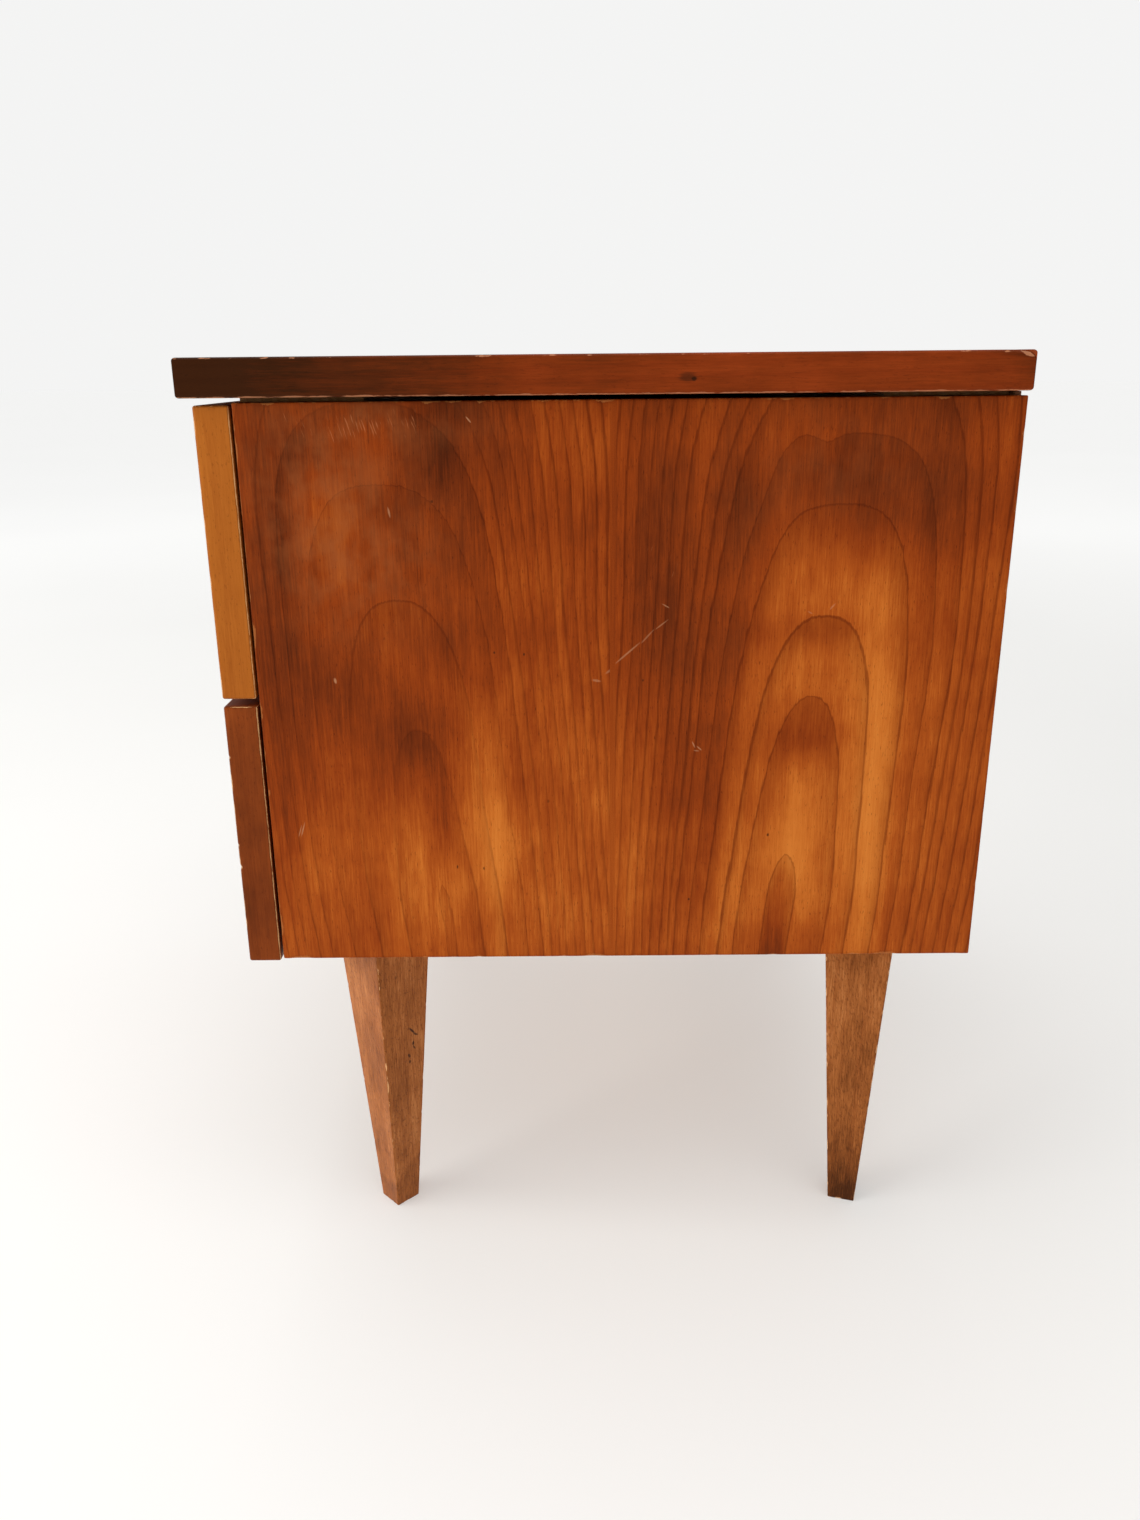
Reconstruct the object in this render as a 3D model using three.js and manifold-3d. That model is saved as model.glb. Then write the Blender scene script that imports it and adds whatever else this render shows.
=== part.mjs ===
// Two-drawer nightstand on four screw-in tapered legs.
// Millimetres, +Z up, X across the width, the drawers open towards -Y, the floor is at Z = 0.
import * as THREE from 'three';
import { ConvexGeometry } from 'three/addons/geometries/ConvexGeometry.js';
import { mergeVertices } from 'three/addons/utils/BufferGeometryUtils.js';
import Module from 'manifold-3d';

// ---- driving dimensions ----

const TOP_WIDTH = 450;
const TOP_DEPTH = 400;
const TOP_THICKNESS = 18.2;
const TOP_OVERHANG = 5.5; // past the sides, and past the faces of the drawer fronts
const TOP_STAND_OFF = 2.2; // the top rests on its rails, this far above the sides
const LIPPING_THICKNESS = 12;
const ARRIS = 1.5; // rounding along the edges of the top

const SIDE_THICKNESS = 16;
const SIDE_HEIGHT = 292.6;
const BOARD = 16; // thickness of the bottom and of the rails
const RAIL_DEPTH = 60;
const BACK_THICKNESS = 3.5;
const BACK_REBATE = 8; // how far the back reaches into each side
const BACK_INSET = 0.4; // the back stops this far inside the rear edges

const FRONT_THICKNESS = 17.4;
const FRONT_STAND_OFF = 1.5; // shadow gap between a closed drawer front and the carcass
const FRONTS = {
  lower: { below: 1.4, height: 145.3, color: 0x7f4018 }, // its bottom edge hangs below the sides
  upper: { above: 147.7, height: 143.8, color: 0xb0672a },
};

const DRAWER_BOX_LENGTH = 340;
const DRAWER_BOX_HEIGHT = 105;
const DRAWER_BOARD = 12;
const DRAWER_SIDE_PLAY = 1.2; // free space between a drawer side and the carcass side
const DRAWER_LIFT = 8; // free space under each drawer box
const DRAWER_BOTTOM = 3.5;
const BOTTOM_GROOVE_HEIGHT = 8; // from the lower edge of the drawer side to the groove
const BOTTOM_GROOVE_DEPTH = 5;

const RUNNER_THICKNESS = 8;
const RUNNER_HEIGHT = 14;
const RUNNER_LENGTH = 346;
const RUNNER_SETBACK = 15.6; // from the front edge of the side to the end of the runner
const RUNNER_PLAY = 0.5; // free space round the runner in its groove
const RUNNER_SCREW_INSET = 40;

const LEG_LENGTH = 189;
const LEG_TOP = 38.5; // square section at the top
const LEG_FOOT = 16; // square section at the foot
const LEG_FOOT_BEVEL = 1.2;
const LEG_INSET_X = 42; // from the outer face of the side to the leg's axis
const LEG_INSET_Y = 48.5; // from the front and rear edges of the side to the leg's axis
// Each leg screws home at its own angle.
const LEG_TURNS_DEG = { front_right: 44, rear_right: -17, front_left: 12, rear_left: -38 };

const KNOB_HEIGHT = 22;
const KNOB_SCREW_RADIUS = 2;
const KNOB_SCREW_GRIP = 12; // how far the screw reaches into the knob
const WOOD_SCREW_RADIUS = 1.75;
const WOOD_SCREW_HEAD = 3.6;
const LEG_BOLT_RADIUS = 3.8;
const LEG_BOLT_IN_LEG = 38;
const LEG_BOLT_ABOVE = 13;
const LEG_NUT_RADIUS = 6;
const LEG_NUT_FLANGE = 11;
const LEG_NUT_FLANGE_THICKNESS = 1.5;

const JOINT = 0.1; // between boards that are glued or nailed together
const CLEARANCE = 0.3; // round screws and bolts
const ROUND_SEGMENTS = 16;
const KNOB_SEGMENTS = 32;

// ---- derived places ----

const FRONT_EDGE = -TOP_DEPTH / 2 + TOP_OVERHANG + FRONT_THICKNESS + FRONT_STAND_OFF; // of the sides
const REAR_EDGE = TOP_DEPTH / 2;
const OUTER_X = TOP_WIDTH / 2 - TOP_OVERHANG;
const INNER_X = OUTER_X - SIDE_THICKNESS;
const BASE_Z = LEG_LENGTH;
const SIDE_TOP_Z = BASE_Z + SIDE_HEIGHT;
const RAIL_TOP_Z = SIDE_TOP_Z + TOP_STAND_OFF;
const TOP_Z = RAIL_TOP_Z + TOP_THICKNESS;
const BACK_FACE = REAR_EDGE - BACK_INSET - BACK_THICKNESS;
const FRONT_FACE = -TOP_DEPTH / 2 + TOP_OVERHANG;
const FRONT_BACK = FRONT_FACE + FRONT_THICKNESS;
const MID_RAIL_Z = BASE_Z + (FRONTS.upper.above + FRONTS.lower.height - FRONTS.lower.below - BOARD) / 2;
const RUNNER_FRONT = FRONT_EDGE + RUNNER_SETBACK;
const KNOB_REACH = KNOB_HEIGHT - TOP_OVERHANG; // how far the knobs stand out past the top

// ---- materials ----

const wood = (color, roughness = 0.5) => new THREE.MeshStandardMaterial({ color, roughness, metalness: 0 });
const steel = () => new THREE.MeshStandardMaterial({ color: 0x9a9a96, roughness: 0.4, metalness: 1 });

const SIDE_VENEER = 0xa04c1a;
const TOP_VENEER = 0x96461c;
const LIPPING_WOOD = 0x5e2610;
const LEG_WOOD = 0x955528;
const CARCASS_WOOD = 0xb58a5c;
const DRAWER_WOOD = 0xc9a273;
const HARDBOARD = 0x6b4a2e;
const KNOB_WOOD = 0x6e3517;

// ---- geometry helpers ----

const wasm = await Module();
wasm.setup();

function solidOf(geometry) {
  const bare = geometry.clone();
  bare.deleteAttribute('normal');
  bare.deleteAttribute('uv');
  const merged = mergeVertices(bare, 1e-4);
  const vertProperties = Float32Array.from(merged.attributes.position.array);
  const triVerts = Uint32Array.from(merged.index.array);
  return new wasm.Manifold(new wasm.Mesh({ numProp: 3, vertProperties, triVerts }));
}

function geometryOf(solid) {
  const { vertProperties, triVerts } = solid.getMesh();
  const geometry = new THREE.BufferGeometry();
  geometry.setAttribute('position', new THREE.BufferAttribute(vertProperties, 3));
  geometry.setIndex(new THREE.BufferAttribute(triVerts, 1));
  geometry.computeVertexNormals();
  return geometry;
}

function cut(body, ...tools) {
  return geometryOf(tools.reduce((solid, tool) => solid.subtract(solidOf(tool)), solidOf(body)));
}

// A board between two corners, each given as [low, high] along X, Y and Z.
function board(x, y, z) {
  const size = [x, y, z].map(([low, high]) => high - low);
  const middle = [x, y, z].map(([low, high]) => (high + low) / 2);
  return new THREE.BoxGeometry(...size).translate(...middle);
}

// A turned solid about Z, from a profile of [radius, height] points going up the outside.
function turned(profile, segments = ROUND_SEGMENTS) {
  const points = profile.map(([radius, height]) => new THREE.Vector2(radius, height));
  const lathe = new THREE.LatheGeometry(points, segments).rotateX(Math.PI / 2);
  return geometryOf(solidOf(lathe));
}

// A round drill along Z, from low to high.
const drill = (radius, low, high) => turned([[0, low], [radius, low], [radius, high], [0, high]]);

// A countersunk drill: the head's cone ends at height 0 and the hole runs down to -depth.
function countersink(depth) {
  const head = WOOD_SCREW_HEAD + CLEARANCE;
  const shank = WOOD_SCREW_RADIUS + CLEARANCE;
  return turned([[0, -depth], [shank, -depth], [shank, shank - head], [head, 0], [head, 1], [0, 1]]);
}

// A slotted countersunk wood screw that points down -Z, with its head's face at 0.
function woodScrew(length) {
  const tip = 3;
  const profile = [
    [0, -length],
    [WOOD_SCREW_RADIUS, tip - length],
    [WOOD_SCREW_RADIUS, WOOD_SCREW_RADIUS - WOOD_SCREW_HEAD],
    [WOOD_SCREW_HEAD, 0],
    [0, 0],
  ];
  const slot = new THREE.BoxGeometry(2.4 * WOOD_SCREW_HEAD, 0.9, 2);
  return cut(turned(profile), slot);
}

function named(name, geometry, material) {
  const mesh = new THREE.Mesh(geometry, material);
  mesh.name = name;
  return mesh;
}

// Turns a mesh made along Z so that its +Z looks along the given direction, and puts it at a place.
function aim(mesh, direction, place) {
  mesh.quaternion.setFromUnitVectors(new THREE.Vector3(0, 0, 1), new THREE.Vector3(...direction));
  mesh.position.set(...place);
  return mesh;
}

// The same turning for a cutting tool.
function aimed(geometry, direction, place) {
  const turn = new THREE.Quaternion();
  turn.setFromUnitVectors(new THREE.Vector3(0, 0, 1), new THREE.Vector3(...direction));
  return geometry.applyQuaternion(turn).translate(...place);
}

// ---- the top ----

const RAIL_SCREW_X = 150;
const TOP_SCREW_LENGTH = 28;
const RAIL_CENTRES = { front: FRONT_EDGE + RAIL_DEPTH / 2, rear: BACK_FACE - JOINT - RAIL_DEPTH / 2 };
const RAIL_SCREWS = Object.entries(RAIL_CENTRES).flatMap(([end, y]) => [
  { name: `${end}_left`, x: -RAIL_SCREW_X, y },
  { name: `${end}_right`, x: RAIL_SCREW_X, y },
]);

// A solid edge strip along X with mitred ends. Its outer face looks along -Y at y = 0.
function mitredLipping(length) {
  const arcSteps = 3;
  const corner = (z, turn) => Array.from({ length: arcSteps + 1 }, (_, step) => {
    const angle = ((step / arcSteps) * Math.PI) / 2;
    return [ARRIS - ARRIS * Math.sin(angle), z + turn * ARRIS * (Math.cos(angle) - 1)];
  });
  const inner = LIPPING_THICKNESS;
  const section = [...corner(TOP_THICKNESS, 1), ...corner(0, -1), [inner, 0], [inner, TOP_THICKNESS]];
  const points = section.flatMap(([inset, z]) => [-1, 1].map(
    (end) => new THREE.Vector3(end * (length / 2 - inset - JOINT / 2), inset, z),
  ));
  return geometryOf(solidOf(new ConvexGeometry(points)));
}

function makeTop() {
  const group = new THREE.Group();
  const x = TOP_WIDTH / 2 - LIPPING_THICKNESS - JOINT;
  const y = TOP_DEPTH / 2 - LIPPING_THICKNESS - JOINT;
  const panel = board([-x, x], [-y, y], [RAIL_TOP_Z, TOP_Z]);
  const depth = TOP_SCREW_LENGTH - BOARD + 1;
  const pilots = RAIL_SCREWS.map((screw) => (
    drill(WOOD_SCREW_RADIUS + CLEARANCE, -1, depth).translate(screw.x, screw.y, RAIL_TOP_Z)
  ));
  group.add(named('top_panel', cut(panel, ...pilots), wood(TOP_VENEER)));
  const edges = [
    ['front', TOP_WIDTH, TOP_DEPTH / 2, 0],
    ['right', TOP_DEPTH, TOP_WIDTH / 2, Math.PI / 2],
    ['rear', TOP_WIDTH, TOP_DEPTH / 2, Math.PI],
    ['left', TOP_DEPTH, TOP_WIDTH / 2, -Math.PI / 2],
  ];
  for (const [side, length, reach, turn] of edges) {
    const strip = named(`top_lipping_${side}`, mitredLipping(length), wood(LIPPING_WOOD));
    strip.rotation.z = turn;
    strip.position.set(reach * Math.sin(turn), -reach * Math.cos(turn), RAIL_TOP_Z);
    group.add(strip);
  }
  return group;
}

// ---- the carcass ----

const RUNNER_SCREW_LENGTH = 18;
const boxBottom = (level) => (level === 'upper' ? MID_RAIL_Z + BOARD : BASE_Z + BOARD) + DRAWER_LIFT;
const runnerZ = (level) => boxBottom(level) + DRAWER_BOX_HEIGHT / 2;
const RUNNER_SCREW_Y = [RUNNER_FRONT + RUNNER_SCREW_INSET, RUNNER_FRONT + RUNNER_LENGTH - RUNNER_SCREW_INSET];
const LEVELS = ['upper', 'lower'];
const HANDS = [['left', -1], ['right', 1]];

function makeSide(hand, sign) {
  const ends = (near, far) => [near * sign, far * sign].sort((a, b) => a - b);
  const panel = board(ends(INNER_X, OUTER_X), [FRONT_EDGE, REAR_EDGE], [BASE_Z, SIDE_TOP_Z]);
  const rebate = board(
    ends(INNER_X - 1, INNER_X + BACK_REBATE),
    [BACK_FACE - JOINT, REAR_EDGE + 1],
    [BASE_Z - 1, SIDE_TOP_Z + 1],
  );
  const pilotDepth = RUNNER_SCREW_LENGTH - RUNNER_THICKNESS + 1;
  const pilots = LEVELS.flatMap((level) => RUNNER_SCREW_Y.map((y) => aimed(
    drill(WOOD_SCREW_RADIUS + CLEARANCE, -1, pilotDepth),
    [sign, 0, 0],
    [sign * INNER_X, y, runnerZ(level)],
  )));
  return named(`side_panel_${hand}`, cut(panel, rebate, ...pilots), wood(SIDE_VENEER));
}

const LEGS = Object.entries(LEG_TURNS_DEG).map(([name, degrees]) => ({
  name,
  turn: THREE.MathUtils.degToRad(degrees),
  x: (OUTER_X - LEG_INSET_X) * (name.endsWith('right') ? 1 : -1),
  y: name.startsWith('front') ? FRONT_EDGE + LEG_INSET_Y : REAR_EDGE - LEG_INSET_Y,
}));

function makeBottom() {
  const x = INNER_X - JOINT;
  const panel = board([-x, x], [FRONT_EDGE, BACK_FACE - JOINT], [BASE_Z, BASE_Z + BOARD]);
  const floor = BOARD - LEG_NUT_FLANGE_THICKNESS - CLEARANCE;
  const holes = LEGS.map((leg) => turned([
    [0, -1],
    [LEG_NUT_RADIUS + CLEARANCE, -1],
    [LEG_NUT_RADIUS + CLEARANCE, floor],
    [LEG_NUT_FLANGE + CLEARANCE, floor],
    [LEG_NUT_FLANGE + CLEARANCE, BOARD + 1],
    [0, BOARD + 1],
  ]).translate(leg.x, leg.y, BASE_Z));
  return named('bottom_panel', cut(panel, ...holes), wood(CARCASS_WOOD));
}

// A rail between the sides. The rails under the top are drilled for its screws.
function makeRail(name, y, low, screws) {
  const x = INNER_X - JOINT;
  const rail = board([-x, x], [y - RAIL_DEPTH / 2, y + RAIL_DEPTH / 2], [low, low + BOARD]);
  const holes = screws.map((screw) => aimed(countersink(BOARD + 1), [0, 0, -1], [screw.x, screw.y, low]));
  return named(name, cut(rail, ...holes), wood(CARCASS_WOOD));
}

function makeRunner(level, hand, sign) {
  const z = runnerZ(level);
  const face = INNER_X - JOINT;
  const strip = board(
    [sign * face, sign * (face - RUNNER_THICKNESS)].sort((a, b) => a - b),
    [RUNNER_FRONT, RUNNER_FRONT + RUNNER_LENGTH],
    [z - RUNNER_HEIGHT / 2, z + RUNNER_HEIGHT / 2],
  );
  const place = (y) => [sign * (face - RUNNER_THICKNESS), y, z];
  const holes = RUNNER_SCREW_Y.map((y) => (
    aimed(countersink(RUNNER_THICKNESS + 1), [-sign, 0, 0], place(y))
  ));
  const group = new THREE.Group();
  group.add(named(`runner_${level}_${hand}`, cut(strip, ...holes), wood(CARCASS_WOOD)));
  ['front', 'rear'].forEach((end, index) => {
    const screw = named(`runner_screw_${level}_${hand}_${end}`, woodScrew(RUNNER_SCREW_LENGTH), steel());
    group.add(aim(screw, [-sign, 0, 0], place(RUNNER_SCREW_Y[index])));
  });
  return group;
}

function makeCarcass() {
  const group = new THREE.Group();
  const backX = INNER_X + BACK_REBATE - CLEARANCE;
  const back = board(
    [-backX, backX],
    [BACK_FACE, BACK_FACE + BACK_THICKNESS],
    [BASE_Z + BACK_INSET, RAIL_TOP_Z - BACK_INSET],
  );
  const rail = (end) => makeRail(
    `top_rail_${end}`,
    RAIL_CENTRES[end],
    RAIL_TOP_Z - BOARD - JOINT,
    RAIL_SCREWS.filter((screw) => screw.name.startsWith(end)),
  );
  group.add(
    ...HANDS.map(([hand, sign]) => makeSide(hand, sign)),
    makeBottom(),
    rail('front'),
    rail('rear'),
    makeRail('mid_rail', RAIL_CENTRES.front, MID_RAIL_Z, []),
    named('back_panel', back, wood(HARDBOARD, 0.8)),
    ...LEVELS.flatMap((level) => HANDS.map(([hand, sign]) => makeRunner(level, hand, sign))),
  );
  for (const { name, x, y } of RAIL_SCREWS) {
    const screw = named(`top_screw_${name}`, woodScrew(TOP_SCREW_LENGTH), steel());
    group.add(aim(screw, [0, 0, -1], [x, y, RAIL_TOP_Z - BOARD - JOINT]));
  }
  return group;
}

// ---- the legs ----

// A square frustum with its axis on Z, its top face at 0 and a small bevel round the foot.
function legGeometry() {
  const ring = (width, z) => [[1, 1], [1, -1], [-1, -1], [-1, 1]].map(
    ([x, y]) => new THREE.Vector3((x * width) / 2, (y * width) / 2, z),
  );
  const taper = (LEG_TOP - LEG_FOOT) / LEG_LENGTH;
  const ankle = LEG_FOOT + taper * LEG_FOOT_BEVEL;
  const frustum = new ConvexGeometry([
    ...ring(LEG_TOP, -JOINT),
    ...ring(ankle, LEG_FOOT_BEVEL - LEG_LENGTH),
    ...ring(LEG_FOOT - 2 * LEG_FOOT_BEVEL, -LEG_LENGTH),
  ]);
  return cut(frustum, drill(LEG_BOLT_RADIUS + CLEARANCE, -LEG_BOLT_IN_LEG - 2, 1));
}

function boltGeometry() {
  const chamfer = 1;
  const r = LEG_BOLT_RADIUS;
  return turned([
    [0, -LEG_BOLT_IN_LEG],
    [r - chamfer, -LEG_BOLT_IN_LEG],
    [r, chamfer - LEG_BOLT_IN_LEG],
    [r, LEG_BOLT_ABOVE - chamfer],
    [r - chamfer, LEG_BOLT_ABOVE],
    [0, LEG_BOLT_ABOVE],
  ]);
}

// A threaded sleeve with a flange that lies in the top of the bottom panel.
function nutGeometry() {
  const bore = LEG_BOLT_RADIUS + CLEARANCE;
  const flangeTop = BOARD - CLEARANCE / 2;
  const flangeFloor = flangeTop - LEG_NUT_FLANGE_THICKNESS;
  return turned([
    [bore, 2],
    [LEG_NUT_RADIUS, 2],
    [LEG_NUT_RADIUS, flangeFloor],
    [LEG_NUT_FLANGE, flangeFloor],
    [LEG_NUT_FLANGE, flangeTop],
    [bore, flangeTop],
    [bore, 2],
  ]);
}

function makeLegs() {
  const group = new THREE.Group();
  for (const leg of LEGS) {
    const parts = new THREE.Group();
    parts.add(
      named(`leg_${leg.name}`, legGeometry(), wood(LEG_WOOD)),
      named(`leg_bolt_${leg.name}`, boltGeometry(), steel()),
      named(`leg_nut_${leg.name}`, nutGeometry(), steel()),
    );
    parts.position.set(leg.x, leg.y, BASE_Z);
    parts.rotation.z = leg.turn;
    group.add(parts);
  }
  return group;
}

// ---- the drawers ----

const FRONT_SCREW_X = 120;
const FRONT_SCREW_LENGTH = 24;
const KNOB_HEAD_HEIGHT = 3;
const BOX_FRONT = FRONT_BACK + JOINT;
const BOX_REAR = BOX_FRONT + DRAWER_BOX_LENGTH;
const BOX_X = INNER_X - DRAWER_SIDE_PLAY;

function drawerSide(name, sign, low) {
  const ends = (near, far) => [near * sign, far * sign].sort((a, b) => a - b);
  const inner = BOX_X - DRAWER_BOARD;
  const middle = low + DRAWER_BOX_HEIGHT / 2;
  const runnerFace = INNER_X - JOINT - RUNNER_THICKNESS - RUNNER_PLAY;
  const reach = RUNNER_HEIGHT / 2 + RUNNER_PLAY;
  const floor = low + BOTTOM_GROOVE_HEIGHT;
  return named(name, cut(
    board(ends(inner, BOX_X), [BOX_FRONT, BOX_REAR], [low, low + DRAWER_BOX_HEIGHT]),
    board(
      ends(runnerFace, BOX_X + 1),
      [RUNNER_FRONT - CLEARANCE, BOX_REAR + 1],
      [middle - reach, middle + reach],
    ),
    board(
      ends(inner - 1, inner + BOTTOM_GROOVE_DEPTH),
      [BOX_FRONT + DRAWER_BOARD - BOTTOM_GROOVE_DEPTH, BOX_REAR + 1],
      [floor, floor + DRAWER_BOTTOM + CLEARANCE],
    ),
  ), wood(DRAWER_WOOD, 0.6));
}

// The board behind the drawer front, drilled for the front's screws and the knob's.
function drawerInnerFront(name, low, fixingZ) {
  const x = BOX_X - DRAWER_BOARD - JOINT;
  const back = BOX_FRONT + DRAWER_BOARD;
  const floor = low + BOTTOM_GROOVE_HEIGHT;
  const screwHole = (holeX) => aimed(countersink(DRAWER_BOARD + 1), [0, 1, 0], [holeX, back, fixingZ]);
  return named(name, cut(
    board([-x, x], [BOX_FRONT, back], [low, low + DRAWER_BOX_HEIGHT]),
    board(
      [-x - 1, x + 1],
      [back - BOTTOM_GROOVE_DEPTH, back + 1],
      [floor, floor + DRAWER_BOTTOM + CLEARANCE],
    ),
    screwHole(-FRONT_SCREW_X),
    screwHole(FRONT_SCREW_X),
    aimed(drill(KNOB_SCREW_RADIUS + CLEARANCE, -DRAWER_BOARD - 1, 1), [0, 1, 0], [0, back, fixingZ]),
  ), wood(DRAWER_WOOD, 0.6));
}

function drawerFront(name, low, height, fixingZ, color) {
  const pilotDepth = FRONT_SCREW_LENGTH - DRAWER_BOARD + 1;
  const pilot = (x) => aimed(
    drill(WOOD_SCREW_RADIUS + CLEARANCE, -pilotDepth, 1),
    [0, 1, 0],
    [x, FRONT_BACK, fixingZ],
  );
  return named(name, cut(
    board([-OUTER_X, OUTER_X], [FRONT_FACE, FRONT_BACK], [low, low + height]),
    pilot(-FRONT_SCREW_X),
    pilot(FRONT_SCREW_X),
    aimed(drill(KNOB_SCREW_RADIUS + CLEARANCE, -FRONT_THICKNESS - 1, 1), [0, 1, 0], [0, FRONT_BACK, fixingZ]),
  ), wood(color));
}

// A turned mushroom knob that stands up along +Z, with a blind hole for its screw underneath.
function knobGeometry() {
  const hole = KNOB_SCREW_RADIUS + CLEARANCE;
  const crown = 14.5;
  const crownSteps = 8;
  const shoulder = 13.5;
  const dome = Array.from({ length: crownSteps }, (_, step) => {
    const angle = (step / crownSteps) * (Math.PI / 2);
    return [crown * Math.cos(angle), shoulder + (KNOB_HEIGHT - shoulder) * Math.sin(angle)];
  });
  const holeTop = KNOB_SCREW_GRIP + 1;
  return turned([
    [0, holeTop], [hole, holeTop], [hole, JOINT],
    [8.5, JOINT], [7.8, 2.5], [7.4, 5], [8.2, 7.5], [10.5, 9.8], [13.2, 11.5],
    ...dome, [0, KNOB_HEIGHT],
  ], KNOB_SEGMENTS);
}

// A slotted round-head machine screw that points down -Z, with the underside of its head at 0.
function knobScrewGeometry() {
  const length = DRAWER_BOARD + JOINT + FRONT_THICKNESS + KNOB_SCREW_GRIP;
  const head = 4;
  const slot = new THREE.BoxGeometry(3 * head, 1, 1.6).translate(0, 0, KNOB_HEAD_HEIGHT);
  const profile = [
    [0, -length], [KNOB_SCREW_RADIUS, -length], [KNOB_SCREW_RADIUS, JOINT], [head, JOINT],
    [head, 1.2], [0.8 * head, 2.3], [0.4 * head, KNOB_HEAD_HEIGHT], [0, KNOB_HEAD_HEIGHT],
  ];
  return cut(turned(profile), slot);
}

function makeDrawer(level) {
  const { below = 0, above = -below, height, color } = FRONTS[level];
  const low = boxBottom(level);
  const frontLow = BASE_Z + above;
  const fixingZ = frontLow + height / 2;
  const boxBack = BOX_FRONT + DRAWER_BOARD;
  const innerX = BOX_X - DRAWER_BOARD;
  const floorX = innerX + BOTTOM_GROOVE_DEPTH - CLEARANCE;
  const floorLow = low + BOTTOM_GROOVE_HEIGHT + CLEARANCE / 2;
  const group = new THREE.Group();
  group.add(
    drawerFront(`${level}_drawer_front`, frontLow, height, fixingZ, color),
    drawerInnerFront(`${level}_drawer_inner_front`, low, fixingZ),
    ...HANDS.map(([hand, sign]) => drawerSide(`${level}_drawer_side_${hand}`, sign, low)),
    named(`${level}_drawer_back`, board(
      [JOINT - innerX, innerX - JOINT],
      [BOX_REAR - DRAWER_BOARD, BOX_REAR],
      [floorLow + DRAWER_BOTTOM + JOINT, low + DRAWER_BOX_HEIGHT],
    ), wood(DRAWER_WOOD, 0.6)),
    named(`${level}_drawer_bottom`, board(
      [-floorX, floorX],
      [boxBack - BOTTOM_GROOVE_DEPTH + CLEARANCE, BOX_REAR],
      [floorLow, floorLow + DRAWER_BOTTOM],
    ), wood(HARDBOARD, 0.7)),
    aim(named(`${level}_knob`, knobGeometry(), wood(KNOB_WOOD)), [0, -1, 0], [0, FRONT_FACE, fixingZ]),
    aim(
      named(`${level}_knob_screw`, knobScrewGeometry(), steel()),
      [0, 1, 0],
      [0, boxBack, fixingZ],
    ),
    ...HANDS.map(([hand, sign]) => aim(
      named(`${level}_front_screw_${hand}`, woodScrew(FRONT_SCREW_LENGTH), steel()),
      [0, 1, 0],
      [sign * FRONT_SCREW_X, boxBack, fixingZ],
    )),
  );
  return group;
}

// ---- the whole nightstand, its origin on the floor under the middle of its box ----

const nightstand = new THREE.Group();
nightstand.add(makeTop(), makeCarcass(), makeLegs(), makeDrawer('upper'), makeDrawer('lower'));
nightstand.position.y = KNOB_REACH / 2;

export default nightstand;
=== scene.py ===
# Nightstand with two drawers: its visible pieces, their materials, the floor, the light and the camera.
# Lengths are millimetres until a mesh is made, and +Z is up. The drawers open towards -Y.
import math

import bpy
import numpy as np
from mathutils import Matrix, Vector


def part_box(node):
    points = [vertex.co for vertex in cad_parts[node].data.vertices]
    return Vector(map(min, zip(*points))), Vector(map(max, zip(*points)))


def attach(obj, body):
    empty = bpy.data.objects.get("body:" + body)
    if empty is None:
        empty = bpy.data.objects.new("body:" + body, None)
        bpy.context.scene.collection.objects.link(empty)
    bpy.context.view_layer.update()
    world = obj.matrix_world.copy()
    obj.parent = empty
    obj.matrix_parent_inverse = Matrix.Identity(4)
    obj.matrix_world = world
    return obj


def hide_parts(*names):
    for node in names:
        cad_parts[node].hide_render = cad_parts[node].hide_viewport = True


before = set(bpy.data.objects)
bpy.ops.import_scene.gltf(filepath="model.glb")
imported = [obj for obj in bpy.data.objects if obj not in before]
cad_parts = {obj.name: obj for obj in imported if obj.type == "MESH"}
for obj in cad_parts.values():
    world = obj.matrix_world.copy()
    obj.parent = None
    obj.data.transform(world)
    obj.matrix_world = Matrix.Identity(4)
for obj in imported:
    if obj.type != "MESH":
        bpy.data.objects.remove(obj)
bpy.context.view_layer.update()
MM = 0.001

# ---- sizes ----

TOP_ARRIS = 1.5  # rounding of the top's edges
PANEL_ARRIS = 0.15  # and of the veneered panel inside its edge strips
BACK_ARRIS = 0.4
SIDE_ARRIS = 0.7
FRONT_ARRIS = 1.3
LEG_ARRIS = 1.1
EDGE_BAND = 2.2  # how far edge colour reaches from an edge onto a face: lacquer gone from rubbing, edge dirt, and painted highlight lines
VENEER_PITCH = 3.6  # grid of the figured faces
BOARD_PITCH = 9.0
HALF_ROUND = 0.586  # share of an edge's radius that is halfway, in angle, from the edge to the face
SEAM_FROM_FRONT = 181.6  # the side veneer's book-match seam, from the panel's front edge
BACK_REBATE = 8.0
LEG_FOOT_WIDTH = 16.0

# ---- camera and light ----

CAMERA_PLACE = (0.80308, -0.00674, 0.49713)  # metres
CAMERA_PITCH, CAMERA_ROLL, CAMERA_YAW = (math.radians(a) for a in (18.427, -0.554, -0.232))
CAMERA_LENS = 28.09  # millimetres, for a frame 36 mm long

ROOM_LIGHT = 0.5
ROOM_REFLECTION = 0.35
FLOOR_GLOW = 0.33
ON_SIDE = 0.89  # light that falls on the photographed side, against full white
ON_TOP = 0.95  # and on the top
WARM_SHEEN = (1.0, 0.6, 0.3, 1.0)  # aged lacquer over the wood
PAINTED_SHEEN = (0.33, 0.098, 0.028, 1.0)  # painted sheen: a pale, greyish reflection painted on patches of the side veneer
DIRT = (0.4, 0.31, 0.26, 1.0)  # multiplies the colour of pores and of dirty edges

# ---- small numeric tools ----


def corners(node):
    """A CAD node's lowest and highest corners, in millimetres."""
    low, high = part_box(node)
    return np.array(low) / MM, np.array(high) / MM


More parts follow.
